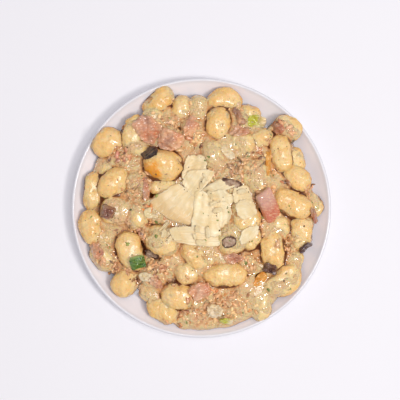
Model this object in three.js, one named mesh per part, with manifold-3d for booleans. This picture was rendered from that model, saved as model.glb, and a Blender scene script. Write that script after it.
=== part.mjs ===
// A heaped serving of potato gnocchi in a creamy ham sauce, on a shallow white plate with a rising edge.
// Millimetres, +Z up. The plate's axis is the Z axis and its foot ring stands on Z = 0.
import * as THREE from 'three';
import { mergeVertices } from 'three/addons/utils/BufferGeometryUtils.js';
import Module from 'manifold-3d';

const wasm = await Module();
wasm.setup();

const GAP = 0.3; // clear space between pieces that touch
const WELD = 1e-4; // points closer together than this are one point

// Plate: flat floor, edge that rises ever more steeply, rounded lip, foot ring underneath.
const PLATE_RADIUS = 110;
const PLATE_HEIGHT = 18;
const LIP_RADIUS = 1.5;
const LIP_TURN = 45; // degrees by which the lip leans inward over the slope of the wall
const PLATE_SEGMENTS = 48;
const FLOOR_TOP = 6.2;
const FLOOR_UNDER = 2.4;
const FLOOR_RADIUS = 88;
const UNDER_RADIUS = 86;
const FOOT_OUTER = 67;
const FOOT_INNER = 61;
const FOOT_CHAMFER = 1.2;
const WALL_STEPS = 4;
const LIP_STEPS = 4;

// Heap: the height at which a gnocco's centre lies, falling from the crown to the outer ring.
const RING_REST = 9.4;
const CROWN_RISE = 12.5;
const HEAP_RADIUS = 96;
const SAUCE_ABOVE_REST = 1.5;
const SAUCE_RADIUS = 87;
const SAUCE_LOBE = 2.5;
const SAUCE_LOBES = 7;
const SAUCE_RINGS = [0, 0.3, 0.55, 0.75, 0.9, 0.98]; // shares of its radius where the dome is shaped
const GNOCCO_FULLNESS = 3; // 2 is an ellipsoid, more is fuller towards the ends
const GNOCCO_FLATTENING = 0.86;
const GNOCCO_TIP = 0.01; // a cross-section smaller than this share is the tip, a single point
const GNOCCO_AROUND = 8;
const GNOCCO_ALONG = 6;
const LUMP_AROUND = 7;
const LUMP_ALONG = 4;
const HEAP_TOLERANCE = 0.4; // slivers finer than this, left where lumps meet, are merged away
const CUT_TOLERANCE = 0.15; // the same where the toppings are let in
const HEAP_SKY = 90; // anything above this is clear of the heap

// Where each gnocco lies: [x, y, length, width, heading in degrees, lift above its neighbours].
const RING_GNOCCHI = [
  [-36, 89.5, 30, 20, 45, 0], [-16, 84, 22, 17, 80, 0], [-3, 84, 22, 18, 90, -1],
  [19, 92, 31, 16, 6, 0], [41, 80, 20, 14, -20, 0], [73, 68, 25, 19, -30, 5],
  [80, 41, 21, 15, -70, -1], [80, 25, 26, 19, -35, 1], [94, 3, 22, 16, -65, 0],
  [84, -20, 30, 20, 85, 1], [78, -46, 22, 15, 70, 0], [69, -61, 36, 21, 38, 3],
  [50, -80, 31, 19, 88, 0], [-32, -85, 30, 21, -35, 0], [-43, -73, 20, 14, -20, -2],
  [-65, -63, 25, 22, 60, 1], [-82, -41, 27, 20, -50, 0], [-93, -16, 31, 19, -82, 2],
  [-92, 14, 32, 15, 86, 1], [-77, 36, 24, 13, 40, -1], [-79, 55, 28, 23, 40, 2],
  [-57, 63, 32, 19, 75, 1], [-39, 75, 23, 18, -30, 0],
];
const MIDDLE_GNOCCHI = [
  [14, 71, 25, 21, 88, 4], [34, 55, 24, 16, -5, 1], [51, 59, 20, 16, 20, 1],
  [67, 46, 33, 19, -84, 4], [76, 4, 36, 21, -28, 4], [66, -15, 19, 16, -60, 0],
  [60, -35, 33, 20, -86, 3], [20, -56, 37, 19, 4, 3], [-12, -54, 21, 19, 20, 1],
  [-20, -74, 28, 22, -10, 3], [-59, -36, 34, 21, -70, 4], [-71, -2, 27, 23, -20, 1],
  [-74, 21, 29, 24, 45, 3], [-54, -6, 25, 19, 85, 1], [-54, 19, 24, 18, -60, 0],
  [-54, 50, 22, 16, -10, 0], [-24, 58, 24, 19, -40, 0], [-10, 63, 28, 16, 80, -1],
];
const CROWN_GNOCCHI = [
  [10, 44, 27, 18, -76, 1], [47, 26, 30, 22, -60, 1], [38, -3, 28, 21, -60, 2],
  [41, -25, 20, 18, 45, 2], [29, -28, 30, 20, 20, 0], [7, -41, 20, 14, -20, -2],
  [-6, -40, 28, 17, -47, 1], [-32, -27, 30, 24, -20, 2], [-32, 18, 24, 14, 8, -1],
  [-32, 36, 33, 25, -12, 4], [-4, 3, 36, 25, 15, 0],
];

// Lumps of crumbly sauce that fill the heap between the gnocchi, given the same way.
const SAUCE_LUMPS = [
  [-4, -91, 29, 20, 0, 0], [23, -83, 32, 29, 0, 0], [10, -93, 34, 15, -5, -2], [36, -46, 25, 20, -30, -1],
  [-55, 10, 20, 25, 0, -1], [75, -32, 19, 17, 0, -1], [31, 32, 37, 20, 15, 0], [-40, -53, 30, 29, 0, -1],
  [3, -69, 25, 22, 0, -1], [-47, -20, 15, 25, 0, -2], [-62, 42, 29, 15, -20, -2], [51, 11, 15, 29, 0, -1],
];

// Toppings on the heap: [name, x, y, length, width, thickness, heading, lift].
const SHAVINGS = [
  ['shaving_long', -7, -23.5, 43, 12.5, 1.3, -5, 0.6],
  ['shaving_broad', -18, 3, 36, 25, 1.3, -32, 0.6],
  ['shaving_band', 4, -5, 30, 16, 1.3, 88, 2.6],
  ['shaving_sliver', 9, 16, 32, 8, 1.3, 20, 0.6],
  ['shaving_back', 17, 9.5, 18, 10, 1.3, -8, 1.6],
  ['shaving_right', 16, -4, 18, 10, 1.3, -86, 2.6],
  ['shaving_upright', -5, 33, 17, 12, 1.3, 20, 0.6],
  ['shaving_curl_top', -5.5, 23.5, 21, 14, 1.3, 48, 2.4],
  ['shaving_far_right', 34, 11, 13, 11, 1.3, -80, 0.6],
  ['shaving_rolled', -31, -16, 11, 4.5, 2.4, 49, 0.8],
];
const HAM = [
  ['ham_chunk_right', 56, 2, 27, 15, 6, -66, -1],
  ['ham_slice_left', -45, 66, 22, 18, 3, -40, 0],
  ['ham_slice_ribbed', -26, 57, 18, 15, 3, -20, 0.4],
  ['ham_bit_top', -9, 68, 15, 10, 3, 80, 0],
  ['ham_strip_corner', 64, 67, 12, 8, 3, -30, 0],
  ['ham_bit_upper', 32, 65, 16, 10, 3, 10, 0],
  ['ham_shred_upper', 31, 79, 11, 8, 3, -60, 0],
  ['ham_cube_left', -78, -3, 13, 12, 6, -20, 0],
  ['ham_strip_edge', -88, -36, 14, 9, 3, -50, 0],
  ['ham_chunk_bottom', -1, -69, 17, 13, 5, 20, -0.5],
  ['ham_bit_dark', 57, -50, 13, 11, 4, -20, 0],
  ['ham_bit_centre', 26, -42, 15, 8, 3, 10, 0],
  ['ham_strip_rim', 95, -6, 15, 5, 3, -70, 0],
  ['ham_shred_rim', 88, -33, 11, 6, 3, 40, 0],
  ['ham_shred_low', -38, -62, 12, 8, 3, -50, 0],
  ['ham_strip_side', -46, 15, 17, 5, 3, 88, 0],
];
const MUSHROOM = [
  ['mushroom_dark', -43, 46, 15, 11, 4, 30, -0.5],
  ['mushroom_slice', 23, -28, 13, 9, 3, 10, 0],
  ['mushroom_edge', 25, 21, 16, 8, 3, -12, 0.4],
  ['mushroom_low', -41, -38, 12, 7, 3, -20, 0],
];
const SPRING_ONION = [
  ['spring_onion', -53, -45, 13, 11, 4, 15, 0.4],
];
const ONION = [
  ['onion_corner', 47, 73, 16, 10, 4, -5, 0],
  ['onion_white', 11, -86, 12, 10, 4, 0, 0],
  ['onion_green', 21, -95, 11, 8, 3, 0, -0.5],
  ['onion_clear', 22, 47, 14, 8, 3, -55, 0],
  ['onion_low', -46, -57, 11, 8, 3, 0, 0],
  ['onion_left', -42, -4, 11, 9, 3, 0, 0],
];
const CARROT = [
  ['carrot_strip', 56, 41, 26, 5, 3, 88, 0],
  ['carrot_bit', 49, -60, 13, 8, 3, 50, 0],
];
const SHAVING_BEND = 70; // radius to which the middle of a shaving bends over the heap
const SHAVING_ROUNDING = 0.1; // share of its half-size by which each corner is drawn in
const SHAVING_SETTLE = 0.45; // share of the heap's slope that it lies along
const SHAVING_STEPS = 6; // facets along it
const CHUNK_BEND = 1000; // so wide that a chunk is all but straight
const CHUNK_ROUNDING = 0.18;
const CHUNK_SETTLE = 0.8;
const CHUNK_STEPS = 2;
const SEAT_REACH = 0.32; // share of a topping's size at which the heap's slope is felt

const radians = THREE.MathUtils.degToRad;

// ---- materials ----

function porcelain() {
  return new THREE.MeshStandardMaterial({ color: '#efecec', roughness: 0.18 });
}

function creamedPotatoDough() {
  return new THREE.MeshStandardMaterial({ color: '#dcb27c', roughness: 0.42 });
}

function hardCheese() {
  return new THREE.MeshStandardMaterial({ color: '#ecdcb4', roughness: 0.5 });
}

function cookedHam() {
  return new THREE.MeshStandardMaterial({ color: '#c77f68', roughness: 0.4 });
}

function cookedMushroom() {
  return new THREE.MeshStandardMaterial({ color: '#6b5650', roughness: 0.45 });
}

function softOnion() {
  return new THREE.MeshStandardMaterial({ color: '#c9c489', roughness: 0.35 });
}

function springOnion() {
  return new THREE.MeshStandardMaterial({ color: '#3f7a2c', roughness: 0.35 });
}

function cookedCarrot() {
  return new THREE.MeshStandardMaterial({ color: '#e0953f', roughness: 0.4 });
}

// ---- solids ----

// Closed solid from a three.js geometry: welded, without the collapsed triangles of poles, facing outward.
function solidOf(geometry) {
  const bare = geometry.clone();
  bare.deleteAttribute('normal');
  bare.deleteAttribute('uv');
  const welded = mergeVertices(bare, WELD);
  const source = welded.index.array;
  const triangles = [];
  for (let i = 0; i < source.length; i += 3) {
    const [a, b, c] = [source[i], source[i + 1], source[i + 2]];
    if (a !== b && b !== c && c !== a) {
      triangles.push(a, b, c);
    }
  }
  const build = (order) => new wasm.Manifold(new wasm.Mesh({
    numProp: 3,
    vertProperties: new Float32Array(welded.attributes.position.array),
    triVerts: new Uint32Array(order),
  }));
  const solid = build(triangles);
  return solid.volume() > 0 ? solid : build(triangles.reverse());
}

// The main body of a cut solid, without the crumbs cut loose from it.
function largestOf(solid) {
  return solid.decompose().sort((one, other) => other.volume() - one.volume())[0];
}

function geometryOf(solid) {
  const mesh = solid.getMesh();
  const geometry = new THREE.BufferGeometry();
  geometry.setAttribute('position', new THREE.BufferAttribute(new Float32Array(mesh.vertProperties), 3));
  geometry.setIndex(new THREE.BufferAttribute(new Uint32Array(mesh.triVerts), 1));
  geometry.computeVertexNormals();
  return geometry;
}

function displaced(geometry, move) {
  const position = geometry.attributes.position;
  const point = new THREE.Vector3();
  for (let i = 0; i < position.count; i += 1) {
    move(point.fromBufferAttribute(position, i));
    position.setXYZ(i, point.x, point.y, point.z);
  }
  return geometry;
}

function lathe(points, segments) {
  return new THREE.LatheGeometry(points, segments).rotateX(Math.PI / 2);
}

// ---- plate ----

// Parabola from a flat surface up to a slope of about 45 degrees.
function wallCurve(startRadius, startZ, endRadius, endZ) {
  const points = [];
  for (let step = 0; step <= WALL_STEPS; step += 1) {
    const share = step / WALL_STEPS;
    points.push(new THREE.Vector2(
      startRadius + (endRadius - startRadius) * share,
      startZ + (endZ - startZ) * share * share,
    ));
  }
  return points;
}

// Point of the rounded lip, at an angle from its outermost side up and over towards the food.
function lipPoint(degrees) {
  return new THREE.Vector2(
    PLATE_RADIUS - LIP_RADIUS + LIP_RADIUS * Math.cos(radians(degrees)),
    PLATE_HEIGHT - LIP_RADIUS + LIP_RADIUS * Math.sin(radians(degrees)),
  );
}

function plateSolid() {
  const under = [
    new THREE.Vector2(0, FLOOR_UNDER),
    new THREE.Vector2(FOOT_INNER, FLOOR_UNDER),
    new THREE.Vector2(FOOT_INNER + FOOT_CHAMFER, 0),
    new THREE.Vector2(FOOT_OUTER, 0),
    new THREE.Vector2(FOOT_OUTER + FOOT_CHAMFER, FLOOR_UNDER),
  ];
  const outerEnd = lipPoint(-LIP_TURN);
  const innerEnd = lipPoint(180 - LIP_TURN);
  const outside = wallCurve(UNDER_RADIUS, FLOOR_UNDER, outerEnd.x, outerEnd.y);
  const rim = [];
  for (let step = 1; step < LIP_STEPS; step += 1) {
    rim.push(lipPoint((step / LIP_STEPS) * 180 - LIP_TURN));
  }
  const inside = wallCurve(FLOOR_RADIUS, FLOOR_TOP, innerEnd.x, innerEnd.y).reverse();
  const profile = [...under, ...outside, ...rim, ...inside, new THREE.Vector2(0, FLOOR_TOP)];
  return solidOf(lathe(profile, PLATE_SEGMENTS));
}

// Room the food may fill: the plate's inside and the air above its rim, kept clear of the plate.
function servingSpace() {
  const edge = lipPoint(180 - LIP_TURN);
  const profile = [
    new THREE.Vector2(0, FLOOR_TOP + GAP),
    ...wallCurve(FLOOR_RADIUS - GAP, FLOOR_TOP + GAP, edge.x - GAP, edge.y + GAP),
    new THREE.Vector2(edge.x - GAP, PLATE_HEIGHT + GAP),
    new THREE.Vector2(PLATE_RADIUS + GAP, PLATE_HEIGHT + GAP),
    new THREE.Vector2(PLATE_RADIUS + GAP, HEAP_SKY),
    new THREE.Vector2(0, HEAP_SKY),
  ];
  return solidOf(lathe(profile, PLATE_SEGMENTS));
}

// ---- heap ----

function restHeight(x, y) {
  const reach = Math.min(1, Math.hypot(x, y) / HEAP_RADIUS);
  return FLOOR_TOP + RING_REST + CROWN_RISE * (1 - reach * reach);
}

// Upper surface of one lump at a point, or -Infinity beside it.
function lumpTop([cx, cy, length, width, heading, lift], x, y) {
  const turn = radians(heading);
  const along = ((x - cx) * Math.cos(turn) + (y - cy) * Math.sin(turn)) / (length / 2);
  const across = (-(x - cx) * Math.sin(turn) + (y - cy) * Math.cos(turn)) / (width / 2);
  const body = 1 - Math.abs(along) ** GNOCCO_FULLNESS;
  const rise = body - across * across;
  if (body <= 0 || rise <= 0) {
    return -Infinity;
  }
  return restHeight(cx, cy) + lift + (width / 2) * GNOCCO_FLATTENING * Math.sqrt(rise);
}

function heapTop(x, y) {
  const lumps = [...RING_GNOCCHI, ...MIDDLE_GNOCCHI, ...CROWN_GNOCCHI, ...SAUCE_LUMPS];
  return Math.max(restHeight(x, y) + SAUCE_ABOVE_REST, ...lumps.map((lump) => lumpTop(lump, x, y)));
}

// Barrel-shaped lump with its length along X before it is turned to its heading.
function lumpSolid([x, y, length, width, heading, lift], around, along) {
  const geometry = new THREE.SphereGeometry(1, around, along).rotateZ(Math.PI / 2);
  displaced(geometry, (point) => {
    const round = Math.sqrt(Math.max(1 - point.x * point.x, 0));
    const full = Math.sqrt(Math.max(1 - Math.abs(point.x) ** GNOCCO_FULLNESS, 0));
    const swell = round > GNOCCO_TIP ? full / round : 0;
    point.y *= swell;
    point.z *= swell;
  });
  geometry.scale(length / 2, width / 2, (width / 2) * GNOCCO_FLATTENING);
  geometry.rotateZ(radians(heading));
  geometry.translate(x, y, restHeight(x, y) + lift);
  return solidOf(geometry);
}

// Low domed bed of sauce with a lobed edge, under and between the gnocchi.
function sauceBed() {
  const top = SAUCE_RINGS.map((share) => new THREE.Vector2(
    share * SAUCE_RADIUS,
    restHeight(share * SAUCE_RADIUS, 0) + SAUCE_ABOVE_REST,
  ));
  const profile = [
    ...top,
    new THREE.Vector2(SAUCE_RADIUS, FLOOR_TOP + RING_REST / 2),
    new THREE.Vector2(SAUCE_RADIUS, FLOOR_TOP),
    new THREE.Vector2(0, FLOOR_TOP),
  ];
  const geometry = lathe(profile, 4 * SAUCE_LOBES);
  displaced(geometry, (point) => {
    const angle = Math.atan2(point.y, point.x);
    const swell = 1 + (SAUCE_LOBE / SAUCE_RADIUS) * Math.sin(SAUCE_LOBES * angle);
    point.x *= swell;
    point.y *= swell;
  });
  return solidOf(geometry);
}

function heapSolid(toppingRows) {
  let heap = sauceBed();
  for (const row of [...RING_GNOCCHI, ...MIDDLE_GNOCCHI, ...CROWN_GNOCCHI]) {
    heap = heap.add(lumpSolid(row, GNOCCO_AROUND, GNOCCO_ALONG));
  }
  for (const row of SAUCE_LUMPS) {
    heap = heap.add(lumpSolid(row, LUMP_AROUND, LUMP_ALONG));
  }
  heap = heap.asOriginal().simplify(HEAP_TOLERANCE).intersect(servingSpace());
  for (const { row, shape } of toppingRows) {
    heap = heap.subtract(solidOf(toppingGeometry(row, shape, GAP)));
    heap = heap.subtract(solidOf(toppingGeometry(row, shape, GAP, true)));
  }
  return largestOf(heap).asOriginal().simplify(CUT_TOLERANCE);
}

// ---- toppings ----

// Seat of a topping: its mean height and its slopes on the heap along and across its heading.
function seatOf([, x, y, length, width, thickness, heading, lift]) {
  const turn = radians(heading);
  const at = (along, across) => heapTop(
    x + along * length * Math.cos(turn) - across * width * Math.sin(turn),
    y + along * length * Math.sin(turn) + across * width * Math.cos(turn),
  );
  const [front, back] = [at(SEAT_REACH, 0), at(-SEAT_REACH, 0)];
  const [left, right] = [at(0, SEAT_REACH), at(0, -SEAT_REACH)];
  return {
    height: (front + back + left + right + 2 * at(0, 0)) / 6 + thickness / 2 + lift,
    pitch: Math.atan2(front - back, 2 * SEAT_REACH * length),
    roll: Math.atan2(left - right, 2 * SEAT_REACH * width),
  };
}

// A block with softened corners, bent over the heap. `grow` swells it for a clearance cut, and `open`
// carries its upper face up to the sky so that the cut leaves nothing above it.
function toppingGeometry(row, { steps, rounding, bend, settle }, grow = 0, open = false) {
  const [, x, y, length, width, thickness, heading] = row;
  const seat = seatOf(row);
  const geometry = new THREE.BoxGeometry(1, 1, 1, steps, 2, 1);
  const turn = new THREE.Euler(seat.roll * settle, -seat.pitch * settle, radians(heading), 'ZYX');
  return displaced(geometry, (point) => {
    const upper = point.z > 0;
    const [u, v] = [point.x * 2, point.y * 2];
    point.x = u * (1 - rounding * v * v) * (length / 2 + grow);
    point.y = v * (1 - rounding * u * u) * (width / 2 + grow);
    point.z = point.z * (thickness + 2 * grow) - (point.x * point.x) / (2 * bend);
    point.applyEuler(turn);
    point.add(new THREE.Vector3(x, y, seat.height));
    if (open && upper) {
      point.z = HEAP_SKY;
    }
  });
}

// A topping cut back from the ones that lie over it.
function clearOf(solid, upper) {
  let clear = solid;
  for (const { row, shape } of upper) {
    const cut = solidOf(toppingGeometry(row, shape, GAP));
    if (clear.intersect(cut).volume() > 0) {
      clear = clear.subtract(cut);
    }
  }
  return largestOf(clear);
}

// Each kind of topping: its rows with the shape they share and the material they are made of.
function shavings() {
  const shape = {
    steps: SHAVING_STEPS, rounding: SHAVING_ROUNDING, bend: SHAVING_BEND, settle: SHAVING_SETTLE,
  };
  return SHAVINGS.map((row) => ({ row, shape, surface: hardCheese }));
}

function chunks(rows, surface) {
  const shape = { steps: CHUNK_STEPS, rounding: CHUNK_ROUNDING, bend: CHUNK_BEND, settle: CHUNK_SETTLE };
  return rows.map((row) => ({ row, shape, surface }));
}

// ---- assembly ----

const group = new THREE.Group();
group.name = 'potato_gnocchi_plate';

function addNode(name, solid, surface) {
  const mesh = new THREE.Mesh(geometryOf(solid), surface());
  mesh.name = name;
  group.add(mesh);
}

const toppings = [
  ...shavings(),
  ...chunks(HAM, cookedHam),
  ...chunks(MUSHROOM, cookedMushroom),
  ...chunks(SPRING_ONION, springOnion),
  ...chunks(ONION, softOnion),
  ...chunks(CARROT, cookedCarrot),
];

addNode('plate', plateSolid(), porcelain);
addNode('gnocchi_heap', heapSolid(toppings), creamedPotatoDough);
toppings.forEach(({ row, shape, surface }, index) => {
  addNode(row[0], clearOf(solidOf(toppingGeometry(row, shape)), toppings.slice(index + 1)), surface);
});

export default group;
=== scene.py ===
import math

import bpy
import numpy as np
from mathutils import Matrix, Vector


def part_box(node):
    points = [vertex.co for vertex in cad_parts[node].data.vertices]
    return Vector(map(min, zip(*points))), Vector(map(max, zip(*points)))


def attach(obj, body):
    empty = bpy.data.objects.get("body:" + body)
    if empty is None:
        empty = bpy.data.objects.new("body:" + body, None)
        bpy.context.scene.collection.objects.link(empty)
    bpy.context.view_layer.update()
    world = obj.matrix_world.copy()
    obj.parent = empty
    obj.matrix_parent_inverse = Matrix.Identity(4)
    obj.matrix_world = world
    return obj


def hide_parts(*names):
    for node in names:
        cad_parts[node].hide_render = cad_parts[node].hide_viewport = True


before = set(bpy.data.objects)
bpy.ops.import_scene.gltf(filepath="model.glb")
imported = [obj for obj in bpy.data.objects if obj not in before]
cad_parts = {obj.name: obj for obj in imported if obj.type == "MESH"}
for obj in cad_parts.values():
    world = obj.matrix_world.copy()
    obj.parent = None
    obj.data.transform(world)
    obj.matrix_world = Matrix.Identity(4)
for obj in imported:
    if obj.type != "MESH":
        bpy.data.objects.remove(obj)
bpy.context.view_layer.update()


# ---------------------------------------------------------------- plate
# Shallow white porcelain plate, its edge rising ever more steeply to a rounded lip; turned, glazed and fired.
# It stands on its foot ring, and the whole heap lies on its floor.
MM = 0.001
scene = bpy.context.scene
plate_low, plate_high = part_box("plate")
heap_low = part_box("gnocchi_heap")[0]
PLATE_RADIUS = (plate_high.x - plate_low.x) / 2
PLATE_TOP = plate_high.z
FLOOR_TOP = heap_low.z - 0.3 * MM  # the food was built this far clear of the floor
FLOOR_UNDER = 2.4 * MM
FLOOR_RADIUS, UNDER_RADIUS = 88 * MM, 86 * MM
LIP = 1.5 * MM
LIP_TURN = 45  # degrees by which the lip leans inward over the slope of the wall
FOOT_INNER, FOOT_OUTER, FOOT_CHAMFER = 61 * MM, 67 * MM, 1.2 * MM
HUB, FLOOR_RING = 1 * MM, 60 * MM  # radii of the rings that carry the flat faces in to the axis
WALL_STEPS, LIP_STEPS, TURN_STEPS = 16, 13, 240
GLAZE_WHITE, GLAZE_SHADE = (0.965, 0.952, 1.0, 1), (0.95, 0.935, 0.985, 1)
# Painted shade: the grey that the lip is painted with.
GLAZE_LIP_SHADE = (0.76, 0.745, 0.785, 1)
LIP_SHADE_BAND = 2.5 * MM


def lip_point(degrees):
    """Radius and height of the rounded lip, at an angle from its outermost side up and over to the inside."""
    angle = math.radians(degrees)
    return PLATE_RADIUS - LIP + LIP * math.cos(angle), PLATE_TOP - LIP + LIP * math.sin(angle)


EDGE_RADIUS, EDGE_Z = lip_point(180 - LIP_TURN)


def plate_inside(x, y):
    """Height of the plate's upper face: flat floor, then a parabola up to the lip."""
    reach = np.clip((np.hypot(x, y) - FLOOR_RADIUS) / (EDGE_RADIUS - FLOOR_RADIUS), 0, 1)
    return FLOOR_TOP + (EDGE_Z - FLOOR_TOP) * reach ** 2


def wall_curve(start_radius, start_z, end_radius, end_z):
    """Parabola, flat at its start, as rows of radius and height."""
    share = np.linspace(0, 1, WALL_STEPS)
    radius = start_radius + (end_radius - start_radius) * share
    return np.stack([radius, start_z + (end_z - start_z) * share ** 2], 1)


def pods(rings, first, last):
    """Closed bodies from rings of points: rings is (bodies, rings, around, 3), and each body is capped by a
    single point before its first ring and one after its last. Returns the points, the quads and the caps."""
    bodies, rows, around, _ = rings.shape
    points = np.concatenate([rings.reshape(bodies, -1, 3), first[:, None], last[:, None]], 1)
    size = rows * around + 2
    index = np.arange(rows * around).reshape(rows, around)
    after = np.roll(index, -1, 1)
    quads = np.stack([index[:-1], after[:-1], after[1:], index[1:]], -1).reshape(-1, 4)
    start = np.stack([np.full(around, size - 2), after[0], index[0]], -1)
    end = np.stack([np.full(around, size - 1), index[-1], after[-1]], -1)
    caps = np.concatenate([start, end])
    offset = (np.arange(bodies) * size)[:, None, None]
    return points.reshape(-1, 3), (quads[None] + offset).reshape(-1, 4), (caps[None] + offset).reshape(-1, 3)


def make_piece(name, points, quads, caps):
    """Smooth-shaded mesh object at the origin from arrays of points, quads and triangles."""
    mesh = bpy.data.meshes.new(name)
    faces = quads.tolist() + caps.tolist()
    mesh.from_pydata(points.tolist(), [], faces)
    mesh.polygons.foreach_set("use_smooth", np.ones(len(faces), bool))
    mesh.update()
    piece = bpy.data.objects.new(name, mesh)
    scene.collection.objects.link(piece)
    return piece


class Field:
    """A place, value or colour that changes over a surface: the output of a shader node. Sums, products and
    the methods below carry it into further nodes. What they take is a plain value or another field."""

    def __init__(self, tree, socket):
        self.tree, self.socket = tree, socket

    def node(self, kind, inputs, output=0, **settings):
        """An output of a new node, its inputs given by name or number."""
        made = self.tree.nodes.new(kind)
        for key, value in settings.items():
            setattr(made, key, value)
        for key, value in inputs.items():
            if isinstance(value, Field):
                self.tree.links.new(value.socket, made.inputs[key])
            else:
                made.inputs[key].default_value = value
        return Field(self.tree, made.outputs[output])

    def maths(self, operation, *values):
        return self.node("ShaderNodeMath", dict(enumerate([self, *values])), operation=operation)

    def __add__(self, other):
        return self.maths("ADD", other)

    def __mul__(self, other):
        return self.maths("MULTIPLY", other)

    def taken_from(self, other):
        return self.node("ShaderNodeMath", {0: other, 1: self}, operation="SUBTRACT")

    def ramp(self, low, high, out_low=0.0, out_high=1.0):
        """Carried smoothly from the range low..high to out_low..out_high."""
        limits = {"From Min": low, "From Max": high, "To Min": out_low, "To Max": out_high}
        return self.node("ShaderNodeMapRange", {"Value": self, **limits}, "Result",
                         interpolation_type="SMOOTHSTEP")

    def mix(self, one, other):
        """Colour that goes from one to other as this share goes from 0 to 1."""
        return self.node("ShaderNodeMix", {0: self, 6: one, 7: other}, 2, data_type="RGBA")

    def noise(self, scale, detail=3.0, roughness=0.55, distortion=0.0):
        kind = {"Scale": scale, "Detail": detail, "Roughness": roughness, "Distortion": distortion}
        return self.node("ShaderNodeTexNoise", {"Vector": self, **kind}, "Fac")

    def drawn_out(self, times, degrees=0):
        """Places squeezed together along Y, so that a pattern on them runs along X, then turned."""
        way = {"Rotation": (0, 0, math.radians(degrees)), "Scale": (1.0, times, 1.0)}
        return self.node("ShaderNodeMapping", {"Vector": self, **way}, "Vector")

    def bump(self, distance):
        return self.node("ShaderNodeBump", {"Height": self, "Distance": distance, "Strength": 1.0}, "Normal")


class Finish:
    """Material with a Principled BSDF whose constant inputs are set. Its place is its Object coordinates."""

    def __init__(self, name, **constants):
        self.material = bpy.data.materials.new(name)
        self.material.use_nodes = True
        self.tree = self.material.node_tree
        self.inputs = self.tree.nodes["Principled BSDF"].inputs
        for key, value in constants.items():
            self.inputs[key.replace("_", " ")].default_value = value
        self.place = Field(self.tree, self.tree.nodes.new("ShaderNodeTexCoord").outputs["Object"])

    def own(self, name, output="Fac"):
        """What the points of a piece carry under a name."""
        return self.place.node("ShaderNodeAttribute", {}, output, attribute_name=name,
                               attribute_type="GEOMETRY")

    def cover(self, piece, **changing):
        """Links what changes over the surface to the BSDF, and gives the finish to a piece."""
        for key, field in changing.items():
            self.tree.links.new(field.socket, self.inputs[key.replace("_", " ")])
        piece.data.materials.append(self.material)


profile = np.concatenate([
    [[HUB, FLOOR_UNDER], [FOOT_INNER - HUB, FLOOR_UNDER], [FOOT_INNER, FLOOR_UNDER],
     [FOOT_INNER + FOOT_CHAMFER, 0], [FOOT_OUTER, 0], [FOOT_OUTER + FOOT_CHAMFER, FLOOR_UNDER]],
    wall_curve(UNDER_RADIUS, FLOOR_UNDER, *lip_point(-LIP_TURN)),
    [lip_point(angle) for angle in np.linspace(-LIP_TURN, 180 - LIP_TURN, LIP_STEPS)[1:-1]],
    wall_curve(FLOOR_RADIUS, FLOOR_TOP, EDGE_RADIUS, EDGE_Z)[::-1],
    [[FLOOR_RING, FLOOR_TOP], [HUB, FLOOR_TOP]],
])
turn = np.linspace(0, 2 * math.pi, TURN_STEPS, endpoint=False)
plate_rings = np.stack([profile[:, :1] * np.cos(turn), profile[:, :1] * np.sin(turn),
                        np.repeat(profile[:, 1:], len(turn), 1)], -1)[None]
plate = make_piece("plate_porcelain", *pods(plate_rings, np.array([[0, 0, FLOOR_UNDER]]),
                                            np.array([[0, 0, FLOOR_TOP]])))

glaze = Finish("glaze_white", IOR=1.5, Coat_Weight=0.25, Coat_Roughness=0.06)
place = glaze.place
white = place.noise(18.0, 2.0).ramp(0.35, 0.65).mix(GLAZE_WHITE, GLAZE_SHADE)
# Painted shade: the lip and the top of the wall are painted greyer, standing in for the shade that falls on
# them.
square_x, square_y = (place.node("ShaderNodeSeparateXYZ", {"Vector": place}, axis).maths("POWER", 2.0)
                      for axis in "XY")
lip_shade = (square_x + square_y).maths("SQRT").ramp(EDGE_RADIUS - LIP_SHADE_BAND, PLATE_RADIUS - LIP)
glaze.cover(plate, Base_Color=lip_shade.mix(white, GLAZE_LIP_SHADE),
            Roughness=place.noise(60.0, 2.0).ramp(0.3, 0.7, 0.16, 0.24),
            Normal=place.noise(45.0, 1.0).bump(0.08 * MM))
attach(plate, "root")
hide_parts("plate")


# ---------------------------------------------------------------- gnocchi
# Boiled potato gnocchi, rolled and cut by hand, some pressed over a grooved board. They lie in two loose
# layers, those at the edge on the plate's floor, each half sunk in the sauce and held by it.
RING_REST = 9.1 * MM
CROWN_RISE = 12.5 * MM
HEAP_RADIUS = 96 * MM
FULLNESS = 3.0  # of the outline: 2 is an ellipse, more has blunter ends
FLATTENING = 0.86
SQUARENESS = 0.84  # of the cross-section: 1 is an ellipse, less is a rounded box
BEND_LEVEL = 0.4  # what keeps the middle of a bent gnocco's weight on its place
GNOCCHI_ALONG, GNOCCHI_AROUND = 33, 44
GNOCCO_POINTS = GNOCCHI_ALONG * GNOCCHI_AROUND + 2
CROSS_DEPTH, CROSS_WAVES = 0.045, 2 * math.pi * 4.6  # of the grooves, as shares of the body and in radians
LONG_DEPTH, LONG_WAVES = 0.065, 9
BOARD_TILT = 0.6
UNEVEN = ((0.050, 1.4, 2), (0.035, -2.1, 3), (0.032, 3.1, 0), (0.020, 4.0, 5))  # height, waves along, round
SKEW = ((0.03, 0, 2), (0.02, 0, 3))
DENTS = 5
# Least and greatest of a dent's place along, place round, depth and width, as shares of the body and radians.
DENT_RANGES = ((-0.8, 0.8), (0.1, 3.0), (-0.03, 0.055), (0.22, 0.5))
RELIEFS = ((0.17, 42, 2.2, 6), (0.36, 43, 6, 14))  # height, seed, shortest and longest wave, in mm
PLATE_CLEAR = 0.2 * MM


def in_metres(rows):
    """Rows of x, y, length, width, heading and height, taken from mm and degrees to metres and radians."""
    rows = np.array(rows, float)
    rows[:, [0, 1, 2, 3, 5]] *= MM
    rows[:, 4] = np.radians(rows[:, 4])
    return rows


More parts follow.
